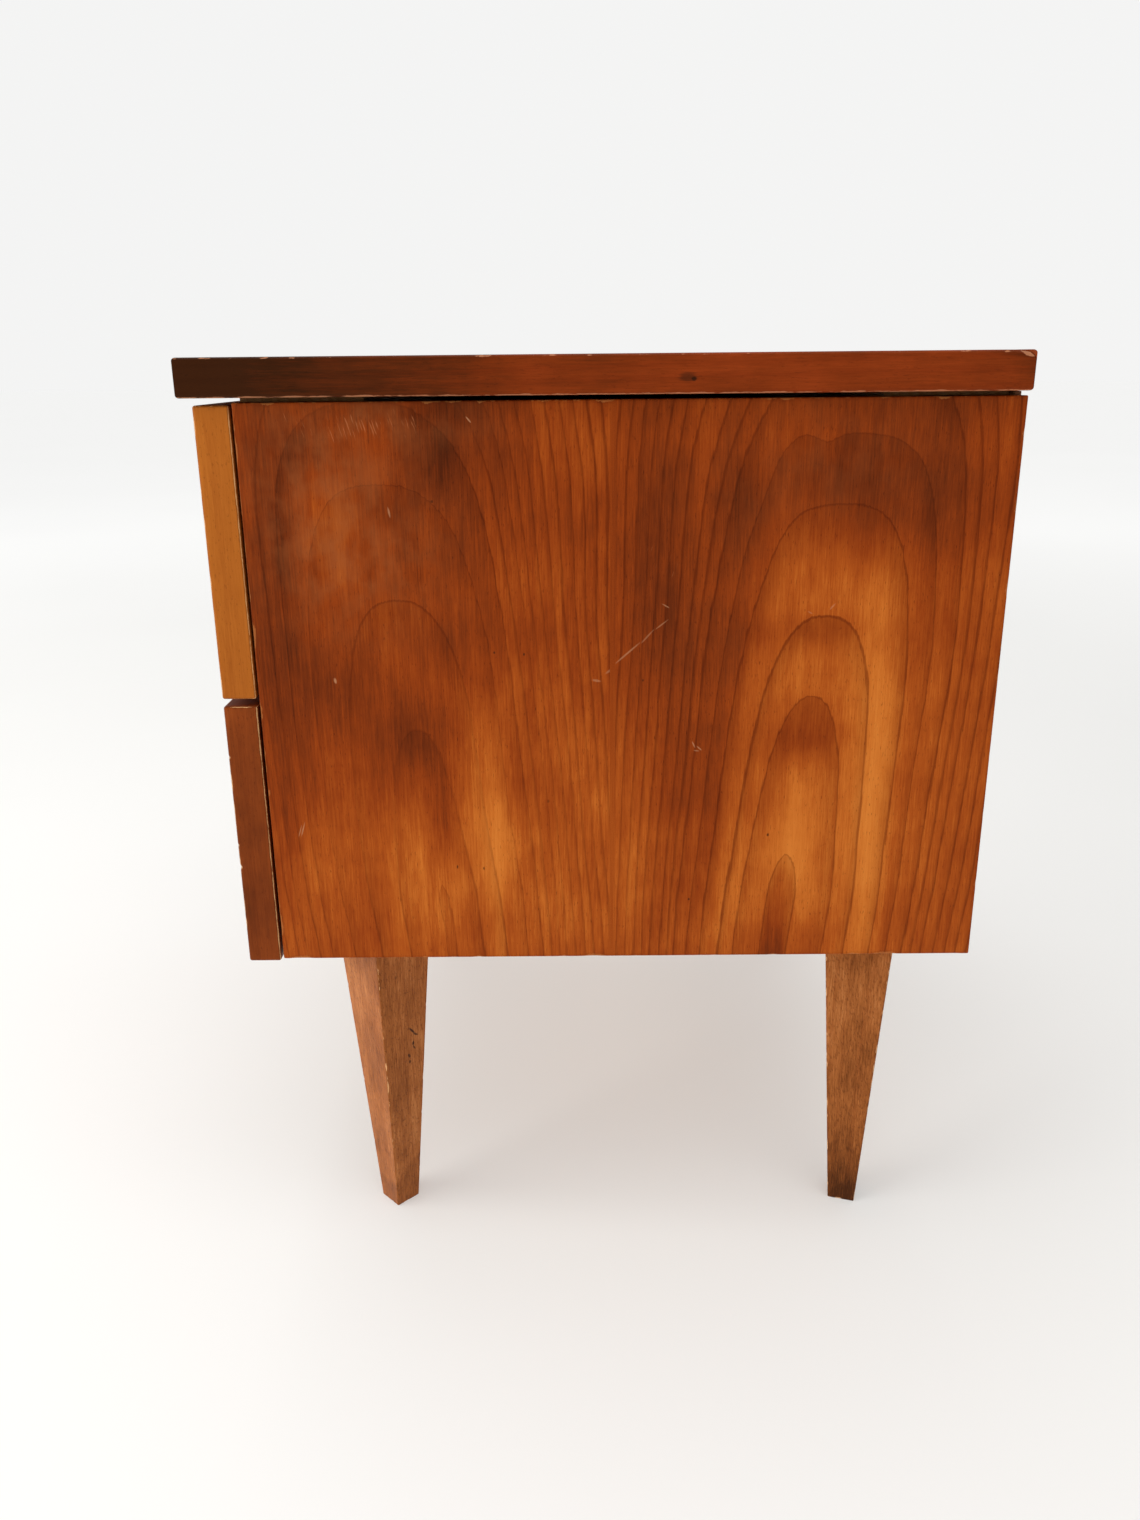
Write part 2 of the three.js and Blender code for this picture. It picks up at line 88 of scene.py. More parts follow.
def soft_noise(points, seed):
    """Smooth noise from -1 to 1 at each point, with one cell to a unit."""
    cells = np.random.default_rng(seed).uniform(-1, 1, (32, 32, 32))
    base = np.floor(points).astype(int)
    part = points - base
    part = part * part * (3 - 2 * part)
    total = np.zeros(len(points))
    for corner in np.ndindex(2, 2, 2):
        weight = np.prod(np.where(corner, part, 1 - part), axis=1)
        i, j, k = ((base + corner) % 32).T
        total += weight * cells[i, j, k]
    return total


def bump_at(points, centre, spread):
    """A soft hill of height 1 round a centre; spread is its half-width along each axis."""
    away = (points - np.array(centre)) / np.array(spread)
    return np.exp(-0.5 * (away**2).sum(axis=1))


# ---- meshes ----


def ticks(low, high, radius, pitch, extra=()):
    """Grid places along one side of a board: close together at its ends, even between them."""
    edge = [0, HALF_ROUND * radius, radius, radius + EDGE_BAND]
    inner_low, inner_high = low + edge[-1], high - edge[-1]
    if inner_high - inner_low < 0.5:
        edge = edge[:3]
        inner_low, inner_high = low + edge[-1], high - edge[-1]
    count = max(1, round((inner_high - inner_low) / pitch))
    even = np.linspace(inner_low, inner_high, count + 1)
    places = [low + e for e in edge[:-1]] + list(even) + [high - e for e in edge[-2::-1]]
    for place in extra:
        places = [p for p in places if abs(p - place) > 0.2 or p in (low, high)] + [place]
    return np.array(sorted(places))


def lattice(xs, ys, zs):
    """Points and quads of a box's surface, gridded at the given places."""
    count = (len(xs), len(ys), len(zs))
    i, j, k = np.indices(count)
    shell = np.zeros(count, bool)
    for grid, most in zip((i, j, k), count):
        shell |= (grid == 0) | (grid == most - 1)
    index = np.zeros(count, int)
    index[shell] = np.arange(shell.sum())
    points = np.stack([xs[i[shell]], ys[j[shell]], zs[k[shell]]], 1)
    quads = []
    for axis in range(3):
        for side in (0, -1):
            face = np.take(index, side, axis=axis)
            quad = np.stack([face[:-1, :-1], face[1:, :-1], face[1:, 1:], face[:-1, 1:]], -1)
            quad = quad.reshape(-1, 4)
            quads.append(quad[:, ::-1] if (side == 0) != (axis == 1) else quad)
    return points, np.concatenate(quads)


def board_surface(low, high, radius, pitches, extras=((), (), ())):
    """Points and quads of a board's surface, for edges of this radius. extras are more grid places."""
    return lattice(*[ticks(*side) for side in zip(low, high, [radius] * 3, pitches, extras)])


def edge_nearness(points, low, high, reach):
    """1 along a board's edges, falling to 0 at reach from them."""
    near = np.sort(np.minimum(points - low, high - points), axis=1)
    return np.clip(1 - near[:, 1] / reach, 0, 1)


def round_edges(points, low, high, radius):
    """Rounds a board's edges. Returns the points, and the way that each one looks."""
    inner = np.clip(points, low + radius, high - radius)
    out = points - inner
    out /= np.linalg.norm(out, axis=1, keepdims=True)
    return inner + radius * out, out


def ring_quads(rings, around, reverse=False):
    """Quads between closed rings of points, each ring next to the one before."""
    quads = []
    for i in range(rings - 1):
        for j in range(around):
            k = (j + 1) % around
            quad = [i * around + j, i * around + k, (i + 1) * around + k, (i + 1) * around + j]
            quads.append([quad[0], *quad[:0:-1]] if reverse else quad)
    return quads


def make_piece(name, body, points, faces, attributes, material, replaced=()):
    """A smooth mesh piece in its place, riding on a body. Points are in millimetres."""
    mesh = bpy.data.meshes.new(name)
    mesh.from_pydata((points * MM).tolist(), [], [list(map(int, f)) for f in faces])
    for key, values in attributes.items():
        values = np.asarray(values, np.float32)
        kind, field = ("FLOAT_VECTOR", "vector") if values.ndim == 2 else ("FLOAT", "value")
        mesh.attributes.new(key, kind, "POINT").data.foreach_set(field, values.ravel())
    mesh.materials.append(material)
    mesh.polygons.foreach_set("use_smooth", [True] * len(mesh.polygons))
    mesh.update()
    piece = bpy.data.objects.new(name, mesh)
    bpy.context.scene.collection.objects.link(piece)
    piece.modifiers.new("even_normals", "WEIGHTED_NORMAL").keep_sharp = True
    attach(piece, body)
    if replaced:
        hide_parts(*replaced)
    return piece


def sawn(heart, seed, spacing, tilt=0.0):
    """The growth rings of a sawn board, counted from the heart of its tree.

    Returns a function of (across, through, along) from the board's middle. heart is (across, through).
    """

    def rings(local):
        wander = soft_noise(local / (70, 70, 260), seed) * 5
        across = local[:, 0] - heart[0] - tilt * local[:, 2] + wander
        return np.hypot(across, local[:, 1] - heart[1]) / spacing

    return rings


def ring_gap(rings, local, through=True):
    """Millimetres from one ring to the next at each point. through is False for a thin veneer."""
    slope = np.zeros(len(local))
    for axis in (0, 1, 2) if through else (0, 2):
        step = np.zeros(3)
        step[axis] = 1.0
        slope += ((rings(local + step) - rings(local - step)) / 2) ** 2
    return np.clip(1 / np.sqrt(slope + 1e-6), 1.0, 90.0)


def grain_along_x(points, middle, thin):
    """(across, through, along) of each point. thin is the axis that the board is thin along, 1 or 2."""
    return (points - middle)[:, [3 - thin, thin, 0]]


def wood_attributes(local, rings, seed, arris, tone=0.0, through=True):
    """What the wood shader reads: place in the grain, rings, their gap, tone and edge wear."""
    shift = np.random.default_rng(seed).uniform(0, 900, 3)
    return {
        "grain": local + shift,
        "ring": rings(local),
        "gap": ring_gap(rings, local, through),
        "tone": tone + np.zeros(len(local)),
        "arris": arris,
    }


def dent(points, outward, arris, depth, cell, seed):
    """Small knocks along the edges. Moves points inwards, and returns how deep each lies (0 to 1)."""
    hit = np.clip(soft_noise(points / cell, seed) * 1.6 - 0.55, 0, 1) * np.clip(2 * arris - 0.8, 0, 1)
    points -= outward * (depth * hit)[:, None]
    return hit


# ---- material tools ----


def srgb(red, green, blue, light=1.0):
    """A display colour (0 to 255) as a linear one, divided by the light that falls on it."""
    linear = [
        c / 12.92 if c <= 0.04045 else ((c + 0.055) / 1.055) ** 2.4
        for c in (red / 255, green / 255, blue / 255)
    ]
    return (*[min(1.0, c / light) for c in linear], 1.0)


class Shading:
    """A node material under construction."""

    def __init__(self, name):
        self.material = bpy.data.materials.new(name)
        self.material.use_nodes = True
        self.tree = self.material.node_tree
        self.shader = self.tree.nodes["Principled BSDF"]

    def put(self, socket, value):
        if isinstance(value, bpy.types.NodeSocket):
            self.tree.links.new(value, socket)
        else:
            socket.default_value = value

    def node(self, kind, **settings):
        made = self.tree.nodes.new("ShaderNode" + kind)
        for key, value in settings.items():
            setattr(made, key, value)
        return made

    def math(self, operation, *values, clamp=False):
        made = self.node("Math", operation=operation, use_clamp=clamp)
        for socket, value in zip(made.inputs, values):
            self.put(socket, value)
        return made.outputs[0]

    def vector(self, operation, *values):
        made = self.node("VectorMath", operation=operation)
        for socket, value in zip(made.inputs, values):
            self.put(socket, value)
        return made.outputs["Value" if operation == "LENGTH" else "Vector"]

    def place(self):
        """Where a point lies in the row frame, in millimetres."""
        return self.vector("MULTIPLY", self.node("TexCoord").outputs["Object"], (1000.0, 1000.0, 1000.0))

    def attribute(self, name, output="Fac"):
        return self.node("Attribute", attribute_name=name).outputs[output]

    def noise(self, place, cells=None, detail=2.0, roughness=0.5):
        """Noise round 0.5. cells is how many of its cells a unit holds, along each axis."""
        if cells:
            place = self.vector("MULTIPLY", place, cells)
        made = self.node("TexNoise")
        made.inputs["Scale"].default_value = 1.0
        made.inputs["Detail"].default_value = detail
        made.inputs["Roughness"].default_value = roughness
        self.put(made.inputs["Vector"], place)
        return made.outputs["Fac"]

    def stretched(self, place, size, lean, centre=(0, 0, 0)):
        """A place counted from centre in units of size, along axes turned by lean (degrees)."""
        made = self.node("Mapping", vector_type="TEXTURE")
        self.put(made.inputs["Vector"], place)
        made.inputs["Location"].default_value = centre
        made.inputs["Rotation"].default_value = [math.radians(a) for a in lean]
        made.inputs["Scale"].default_value = size
        return made.outputs[0]

    def rise(self, value, low, high):
        """0 below low, 1 above high, smooth between."""
        made = self.node("MapRange", interpolation_type="SMOOTHSTEP")
        self.put(made.inputs["Value"], value)
        made.inputs["From Min"].default_value = low
        made.inputs["From Max"].default_value = high
        return made.outputs["Result"]

    def spread(self, value, low, high):
        """Noise, which keeps near 0.5, widened to run from low to high."""
        made = self.node("MapRange", clamp=False)
        self.put(made.inputs["Value"], value)
        made.inputs["From Min"].default_value = 0.25
        made.inputs["From Max"].default_value = 0.75
        made.inputs["To Min"].default_value = low
        made.inputs["To Max"].default_value = high
        return made.outputs["Result"]

    def ramp(self, value, stops):
        made = self.node("ValToRGB")
        elements = made.color_ramp.elements
        while len(elements) < len(stops):
            elements.new(0.5)
        for element, (place, colour) in zip(elements, stops):
            element.position = place
            element.color = colour
        self.put(made.inputs["Fac"], value)
        return made.outputs["Color"]

    def mix(self, amount, first, second, blend="MIX"):
        made = self.node("Mix", data_type="RGBA", blend_type=blend, clamp_factor=True)
        self.put(made.inputs["Factor"], amount)
        self.put(made.inputs[6], first)
        self.put(made.inputs[7], second)
        return made.outputs[2]

    def finish(self, colour, roughness, height, depth, **sockets):
        """Connects the shader. height is 0 to 1, and depth is what 1 stands for, in millimetres."""
        self.put(self.shader.inputs["Base Color"], colour)
        self.put(self.shader.inputs["Roughness"], roughness)
        bump = self.node("Bump")
        bump.inputs["Strength"].default_value = 1.0
        bump.inputs["Distance"].default_value = depth * MM
        self.put(bump.inputs["Height"], height)
        self.put(self.shader.inputs["Normal"], bump.outputs["Normal"])
        for key, value in sockets.items():
            self.shader.inputs[key.replace("_", " ")].default_value = value
        return self.material


# ---- wood ----


def object_grain(sh, along, flat, heart, spacing, middle):
    """Grain and rings of a board that carries no attributes, from its place in the row frame."""
    place = sh.vector("SUBTRACT", sh.place(), tuple(middle))
    split = sh.node("SeparateXYZ")
    sh.put(split.inputs[0], place)
    length, thin = "XYZ".index(along), "XYZ".index(flat)
    across = ({0, 1, 2} - {length, thin}).pop()
    join = sh.node("CombineXYZ")
    for socket, axis in zip(join.inputs, (across, thin, length)):
        sh.put(socket, split.outputs[axis])
    grain = join.outputs[0]
    wander = sh.spread(sh.noise(grain, (0.012, 0.012, 0.004)), -9.0, 9.0)
    a = sh.math("ADD", sh.math("SUBTRACT", split.outputs[across], heart[0]), wander)
    b = sh.math("SUBTRACT", split.outputs[thin], heart[1])
    squares = sh.math("ADD", sh.math("MULTIPLY", a, a), sh.math("MULTIPLY", b, b))
    return grain, sh.math("DIVIDE", sh.math("SQRT", squares), spacing)


def ring_lines(sh, grain, ring, gap, fray, core, shade):
    """Late wood: how dark a point is for the ring line beside it, and a number of its own per ring.

    Each ring darkens slowly over a share (shade) of its width, up to a thin line about core wide.
    """
    ragged = sh.noise(grain, (0.8, 0.8, 0.05), 3.0, 0.6)
    count = sh.math("ADD", ring, sh.math("DIVIDE", sh.spread(ragged, -fray, fray), gap))
    own = sh.node("TexWhiteNoise", noise_dimensions="1D")
    sh.put(own.inputs["W"], sh.math("FLOOR", count))
    own = own.outputs["Value"]
    part = sh.math("FRACT", count)
    width = sh.math("MULTIPLY_ADD", own, 1.1 * core, 0.5 * core)
    before = sh.math("DIVIDE", sh.math("MULTIPLY", sh.math("SUBTRACT", 1.0, part), gap), width)
    after = sh.math("DIVIDE", sh.math("MULTIPLY", part, gap), width)
    thin = sh.math("SUBTRACT", 1.0, sh.rise(before, 0.1, 1.3))
    soft = sh.rise(part, 1.0 - shade, 1.0)
    line = sh.math("MAXIMUM", thin, sh.math("MULTIPLY", soft, 0.4))
    line = sh.math("MAXIMUM", line, sh.math("SUBTRACT", 1.0, sh.rise(after, 0.0, 0.7)))
    patchy = sh.noise(grain, (0.06, 0.06, 0.02), 3.0, 0.6)
    strength = sh.math("MULTIPLY_ADD", own, 0.4, sh.spread(patchy, 0.4, 0.9))
    strength = sh.math("MULTIPLY", strength, sh.spread(sh.rise(gap, 2.0, 9.0), 0.72, 1.0))
    return sh.math("MULTIPLY", line, strength, clamp=True), own


def wood(
    name, tones, line=(0.5, 0.36, 0.3), line_amount=0.9, fray=0.5, core=1.1, shade=0.55, band=0.1,
    fibre=0.2, cloud=0.1, pores=0.5, pore_size=(1.6, 0.34), pore_lean=0.0, pore_limit=0.64, worn=None,
    wear=0.5, grime=0.25, roughness=(0.34, 0.5), relief=0.05, cad=None, gap=3.2, scuffs=None, marks=(),
    **sockets,
):
    """Sawn or sliced wood under lacquer.

    tones runs from the darkest wood to the palest, and each board's tone attribute moves along it.
    line is what a ring's late wood does to the colour; core and shade are as in ring_lines. The edge colour
    is that of lacquer gone from rubbing, and on some boards that of a painted highlight line along an edge;
    wood without one has clean edges. scuffs is the colour of pale rubs, for a board with attributes for
    scuffs, painted sheen and boldness. marks are scratches and nicks: centre, half-sizes, lean in degrees,
    colour and strength. cad is for a board with no attributes: see object_grain.
    """
    sh = Shading(name)
    if cad:
        grain, ring = object_grain(sh, *cad)
        tone = 0.0
    else:
        grain = sh.attribute("grain", "Vector")
        ring, gap, tone = sh.attribute("ring"), sh.attribute("gap"), sh.attribute("tone")
    dark, own = ring_lines(sh, grain, ring, gap, fray, core, shade)

    # Fibres, streaks and slow changes of colour, all long along the grain.
    fine = sh.noise(grain, (1.3, 1.3, 0.06), 5.0, 0.72)
    streak = sh.noise(grain, (0.2, 0.2, 0.006), 3.0, 0.6)
    clouds = sh.noise(grain, (0.03, 0.03, 0.018), 4.0, 0.6)
    shift = sh.math("ADD", sh.spread(streak, -band, band), sh.spread(clouds, -cloud, cloud))
    shift = sh.math("ADD", shift, sh.math("MULTIPLY_ADD", own, 1.2 * band, -0.6 * band))
    shift = sh.math("ADD", shift, sh.spread(fine, -fibre, fibre))
    level = sh.math("ADD", sh.math("MULTIPLY_ADD", tone, 0.5, 0.5), shift)
    colour = sh.ramp(level, [(i / (len(tones) - 1), c) for i, c in enumerate(tones)])
    late = sh.math("MULTIPLY", dark, line_amount)
    if scuffs:
        late = sh.math("MULTIPLY", late, sh.attribute("bold"))
    colour = sh.mix(late, colour, (*line, 1.0), "MULTIPLY")

    # Pores: short dark dashes along the grain, closer together in some places than in others.
    across, along = pore_size
    dash = sh.stretched(grain, (1 / across, 1 / across, 1 / along), (pore_lean, pore_lean, 0))
    dash = sh.noise(dash, None, 1.5, 0.5)
    crowd = sh.spread(clouds, -0.03, 0.03)
    pore = sh.rise(sh.math("ADD", dash, crowd), pore_limit, pore_limit + 0.08)
    colour = sh.mix(sh.math("MULTIPLY", pore, pores), colour, DIRT, "MULTIPLY")

    # Pale rubs from handling, with a slant; painted sheen, a pale greyish reflection painted on some patches;
    # then single scratches and nicks.
    if scuffs:
        rub = sh.noise(sh.stretched(grain, (0.8, 0.8, 9.0), (0, 16, 0)), None, 2.0, 0.55)
        rub = sh.math("ADD", rub, sh.math("MULTIPLY_ADD", sh.attribute("scuff"), 0.3, -0.3))
        colour = sh.mix(sh.math("MULTIPLY", sh.rise(rub, 0.56, 0.7), 0.45), colour, scuffs)
        # painted sheen: the colour is mixed towards a pale reflection colour where the sheen patches lie
        painted_sheen_mask = sh.noise(grain, (0.07, 0.07, 0.06), 3.0, 0.6)
        painted_sheen_mask = sh.math("MULTIPLY", sh.rise(painted_sheen_mask, 0.3, 0.75), sh.attribute("painted_sheen_patch"))
        colour = sh.mix(sh.math("MULTIPLY", painted_sheen_mask, 0.5), colour, PAINTED_SHEEN)
    for centre, radii, lean, tint, amount in marks:
        off = sh.vector("LENGTH", sh.stretched(grain, radii, (0, lean, 0), centre))
        off = sh.math("ADD", off, sh.spread(fine, -0.3, 0.3))
        inside = sh.math("SUBTRACT", 1.0, sh.rise(off, 0.5, 1.2))
        colour = sh.mix(sh.math("MULTIPLY", inside, amount), colour, tint)

    # Edges: a little dirt along them, and a pale edge colour in places: lacquer gone from rubbing, and on
    # some boards a painted highlight line.
    if worn:
        arris = sh.attribute("arris")
        dirty = sh.math("MULTIPLY", sh.rise(arris, 0.25, 1.0), grime)
        colour = sh.mix(dirty, colour, DIRT, "MULTIPLY")
        rough_edge = sh.noise(grain, (0.5, 0.5, 0.12), 4.0, 0.7)
        edge_wear_and_highlight = sh.rise(sh.math("ADD", arris, sh.spread(rough_edge, -0.6, 0.25)), 0.8, 0.92)
        colour = sh.mix(sh.math("MULTIPLY", edge_wear_and_highlight, wear), colour, worn)

    gloss = sh.spread(sh.noise(grain, (0.05, 0.05, 0.03), 4.0, 0.6), *roughness)
    height = sh.math("SUBTRACT", sh.math("MULTIPLY", fine, 0.5), sh.math("MULTIPLY", pore, 0.5))
    return sh.finish(colour, gloss, height, relief, Specular_Tint=WARM_SHEEN, **sockets)


# ---- camera, light and floor ----


def make_camera():
    """The photograph's view: from the right-hand side, level with the top, looking down."""
    ahead = Vector((-math.cos(CAMERA_YAW), math.sin(CAMERA_YAW), 0))
    right = Vector((math.sin(CAMERA_YAW), math.cos(CAMERA_YAW), 0))
    above = Vector((0, 0, 1))
    look = ahead * math.cos(CAMERA_PITCH) - above * math.sin(CAMERA_PITCH)
    level_up = above * math.cos(CAMERA_PITCH) + ahead * math.sin(CAMERA_PITCH)
    side = right * math.cos(CAMERA_ROLL) + level_up * math.sin(CAMERA_ROLL)
    up = level_up * math.cos(CAMERA_ROLL) - right * math.sin(CAMERA_ROLL)
    data = bpy.data.cameras.new("camera")
    data.sensor_width = 36.0
    data.lens = CAMERA_LENS
    data.clip_start, data.clip_end = 0.02, 60.0
    camera = bpy.data.objects.new("camera", data)
    bpy.context.scene.collection.objects.link(camera)
    turn = Matrix((side, up, -look)).transposed().to_4x4()
    camera.matrix_world = Matrix.Translation(CAMERA_PLACE) @ turn
    bpy.context.scene.camera = camera


def area_light(name, place, target, size, power, colour=(1, 1, 1)):
    data = bpy.data.lights.new(name, "AREA")
    data.shape = "RECTANGLE"
    data.size, data.size_y = size
    data.energy = power
    data.color = colour
    light = bpy.data.objects.new(name, data)
    bpy.context.scene.collection.objects.link(light)
    light.location = place
    light.rotation_mode = "QUATERNION"
    light.rotation_quaternion = (Vector(target) - Vector(place)).to_track_quat("-Z", "Y")


def make_light():
    """A white room: one pale background for the eye, dimmer ones for light and for reflections."""
    world = bpy.data.worlds.new("studio")
    bpy.context.scene.world = world
    world.use_nodes = True
    tree = world.node_tree
    ray = tree.nodes.new("ShaderNodeLightPath")

    def background(colour, strength):
        made = tree.nodes.new("ShaderNodeBackground")
        made.inputs["Color"].default_value = (*colour, 1)
        made.inputs["Strength"].default_value = strength
        return made.outputs[0]

    shown = background((0.97, 0.985, 1.0), ROOM_LIGHT)
    for kind, instead in (
        ("Is Glossy Ray", background((1.0, 0.98, 0.95), ROOM_REFLECTION)),
        ("Is Camera Ray", background((0.905, 0.905, 0.9), 1.0)),
    ):
        mix = tree.nodes.new("ShaderNodeMixShader")
        for socket, source in zip(mix.inputs, (ray.outputs[kind], shown, instead)):
            tree.links.new(source, socket)
        shown = mix.outputs[0]
    tree.links.new(shown, tree.nodes["World Output"].inputs[0])
    area_light("ceiling_rear", (-0.5, -0.5, 2.6), (0, 0, 0.2), (1.6, 1.6), 17)
    area_light("ceiling_front", (0.9, 0.5, 2.6), (0.2, 0, 0), (1.8, 1.8), 20)
    area_light("window", (0.9, -2.5, 1.1), (0, 0, 0.2), (2.2, 1.6), 48, (1.0, 0.99, 0.96))
    bpy.context.scene.view_settings.view_transform = "Standard"


def make_floor():
    mesh = bpy.data.meshes.new("floor")
    reach = 30.0
    around = [(-reach, -reach, 0), (reach, -reach, 0), (reach, reach, 0), (-reach, reach, 0)]
    mesh.from_pydata(around, [], [(0, 1, 2, 3)])
    floor = bpy.data.objects.new("floor", mesh)
    bpy.context.scene.collection.objects.link(floor)
    sh = Shading("floor_paint")
    place = sh.node("TexCoord").outputs["Object"]
    cloud = sh.noise(place, (1.5, 1.5, 1.5), 2.0)
    colour = sh.ramp(cloud, [(0.3, (0.61, 0.605, 0.59, 1)), (0.7, (0.63, 0.625, 0.61, 1))])
    # The lamps only reach the middle: further out the floor glows as bright as the room.
    far = sh.rise(sh.vector("LENGTH", place), 0.7, 3.6)
    near_glow = (FLOOR_GLOW, 0.99 * FLOOR_GLOW, 0.965 * FLOOR_GLOW, 1)
    glow = sh.ramp(far, [(0.0, near_glow), (1.0, (0.6, 0.6, 0.595, 1))])
    paint = sh.finish(colour, 0.6, cloud, 0.02, Specular_IOR_Level=0.15, Emission_Strength=1.0)
    sh.put(sh.shader.inputs["Emission Color"], glow)
    mesh.materials.append(paint)


# ---- the side panels ----

LEFT_LEAF_OFFSET = 400  # the left leaf's grain is counted from here, to differ from the right leaf's
# The figure of a leaf is a field whose contours are the growth rings. Its centre line starts this far
# from the seam, and leans away from it by this much per millimetre of height.
RIGHT_LEAF_CENTRE = (85.96, 0.0957)
LEFT_LEAF_CENTRE = (88.0, 0.105)
# By height above the panel's bottom: the field on the centre line, and how square the arches are.
ARCH_RISE = [(0, 0), (35, 0), (60, 6.0), (147, 19.5), (300, 47.9)]
ARCH_POWER = [(40, 1.6), (120, 2.1), (200, 2.6), (260, 3.2)]
# The levels of the field that growth rings fall on.
RIGHT_LEAF_RINGS = [6.0, 19.5, 27.1, 37.4, 43.4, 50.3, 53.8, 57.3, 62.9]
LEFT_LEAF_RINGS = [2.0, 17.0, 29.0, 39.4, 46.5, 51.0, 55.5, 58.5, 63.0]
OUTER_RING_STEP = 4.3
SIDE_TONES = ((74, 26, 7), (108, 41, 10), (138, 55, 12), (164, 76, 21), (190, 102, 35), (204, 118, 46))
# Streaks of each leaf: from the seam, above the bottom, half-widths, and how much paler (or darker).
RIGHT_LEAF_TONES = [
    (95, 62, 12, 28, 0.95), (134, 85, 9, 75, 0.85), (110, 205, 24, 20, 0.35),
    (101, 172, 18, 14, 0.2), (103, 120, 12, 22, 0.15), (98, 126, 14, 7, -0.3),
    (100, 181, 20, 6, -0.3), (66, 60, 10, 45, 0.3), (18, 205, 20, 60, -0.5),
    (45, 150, 16, 50, -0.35), (60, 240, 10, 22, -0.45), (170, 60, 14, 80, 0.15),
    (160, 240, 24, 40, -0.35), (115, 290, 70, 9, -0.35), (6, 60, 7, 60, 0.3),
    (112, 228, 26, 22, -0.25), (120, 262, 50, 20, -0.3),
]
LEFT_LEAF_TONES = [
    (103, 50, 13, 34, 0.5), (84, 44, 6, 22, 0.4), (62, 70, 7, 38, 0.7), (72, 112, 5, 26, 0.3),
    (158, 60, 20, 50, 0.2), (95, 122, 22, 18, -0.3), (92, 80, 5, 24, -0.45),
    (30, 60, 26, 60, 0.25), (155, 274, 13, 12, -0.6), (84, 272, 16, 15, -0.55),
    (162, 232, 7, 16, -0.4), (110, 290, 60, 6, -0.3), (168, 170, 9, 70, -0.4),
    (134, 238, 16, 16, 0.3), (120, 205, 22, 18, 0.25), (96, 214, 8, 10, -0.25),
    (10, 200, 14, 60, -0.2), (130, 175, 50, 60, -0.42), (70, 250, 30, 40, -0.25),
]
# Pale scuffs, then patches of painted sheen (a pale reflection painted on), in the same terms; then where the
# figure fades.
RIGHT_LEAF_SCUFFS = [(22, 214, 22, 14, 0.75), (12, 170, 12, 12, 0.4)]
LEFT_LEAF_SCUFFS = [(112, 282, 30, 7, 1.0), (150, 266, 20, 16, 0.5), (12, 205, 8, 26, 0.6)]
RIGHT_LEAF_PAINTED_SHEEN = [(100, 262, 40, 24, 0.25), (60, 180, 20, 40, 0.1)]
LEFT_LEAF_PAINTED_SHEEN = [(140, 250, 26, 26, 0.85), (128, 210, 26, 20, 0.65), (112, 284, 36, 8, 0.6)]
RIGHT_LEAF_FADED = [(112, 270, 60, 20, 0.35)]
LEFT_LEAF_FADED = [(110, 100, 50, 50, 0.75), (120, 288, 60, 14, 0.5)]
PALE_MARK = (0.56, 0.27, 0.13, 1.0)
DARK_MARK = (0.045, 0.012, 0.004, 1.0)
# Scratches: across, up, half-width, half-length, lean in degrees and strength. The left leaf's places
# across are counted from LEFT_LEAF_OFFSET.
SCRATCHES = [
    (6.0, 170.0, 0.5, 9.0, 49, 0.4), (16.0, 178.5, 0.45, 5.0, 42, 0.3),
    (23.0, 184.5, 0.4, 4.0, 52, 0.35), (403.0, 161.0, 0.6, 3.0, -55, 0.3),
    (409.5, 156.0, 2.6, 0.7, -10, 0.35), (25.0, 194.0, 0.4, 2.2, -60, 0.4),
    (40.5, 121.5, 0.4, 2.0, -25, 0.5), (43.5, 119.5, 0.4, 1.8, -48, 0.5),
    (42.0, 118.2, 1.6, 0.4, 8, 0.35), (108.0, 193.0, 0.45, 2.0, 40, 0.35),
    (97.0, 190.0, 0.4, 1.4, -60, 0.3), (565.0, 76.0, 0.4, 4.4, -17, 0.5),
    (566.6, 75.0, 0.35, 3.6, -17, 0.45), (542.0, 157.0, 0.7, 1.6, 10, 0.6),
    (510.0, 241.0, 0.5, 2.6, 10, 0.45), (470.0, 284.0, 0.4, 2.0, 40, 0.6),
]
# Small dark pits, in the same terms without the lean.
PITS = [
    (14.0, 156.0, 0.5, 0.7, 0.7), (446.0, 170.0, 0.6, 0.8, 0.8), (461.0, 171.0, 0.6, 0.8, 0.8),
    (489.0, 246.0, 0.7, 0.9, 0.7), (81.0, 71.0, 0.7, 0.9, 0.8), (40.0, 34.0, 0.6, 0.8, 0.8),
    (484.0, 54.0, 0.5, 1.1, 0.8), (470.0, 53.0, 0.5, 1.1, 0.8), (435.0, 91.0, 0.5, 1.1, 0.6),
]
SIDE_MARKS = [((u, 0, z), (wide, 9, tall), lean, PALE_MARK, k) for u, z, wide, tall, lean, k in SCRATCHES]
SIDE_MARKS += [((u, 0, z), (wide, 9, tall), 0, DARK_MARK, k) for u, z, wide, tall, k in PITS]


def leaf_height(u, z, centre, slope):
    """The flat-sawn figure's field at each point: its contours are tall, lopsided arches."""
    across = u - centre - slope * z
    width = np.where(across < 0, 1.079 + 0.00074 * z, 1.423)
    rise = np.interp(z, *zip(*ARCH_RISE))
    power = np.interp(z, *zip(*ARCH_POWER))
    return (np.abs(across / width) ** power + np.abs(rise) ** power) ** (1 / power)


def leaf_rings(height, levels):
    """Ring count at a height: whole numbers fall on the given levels, then at even steps."""
    outer = levels[-1] + OUTER_RING_STEP * np.arange(1, 30)
    places = np.concatenate([[-6.0], levels, outer])
    return np.interp(height, places, np.arange(len(places)))


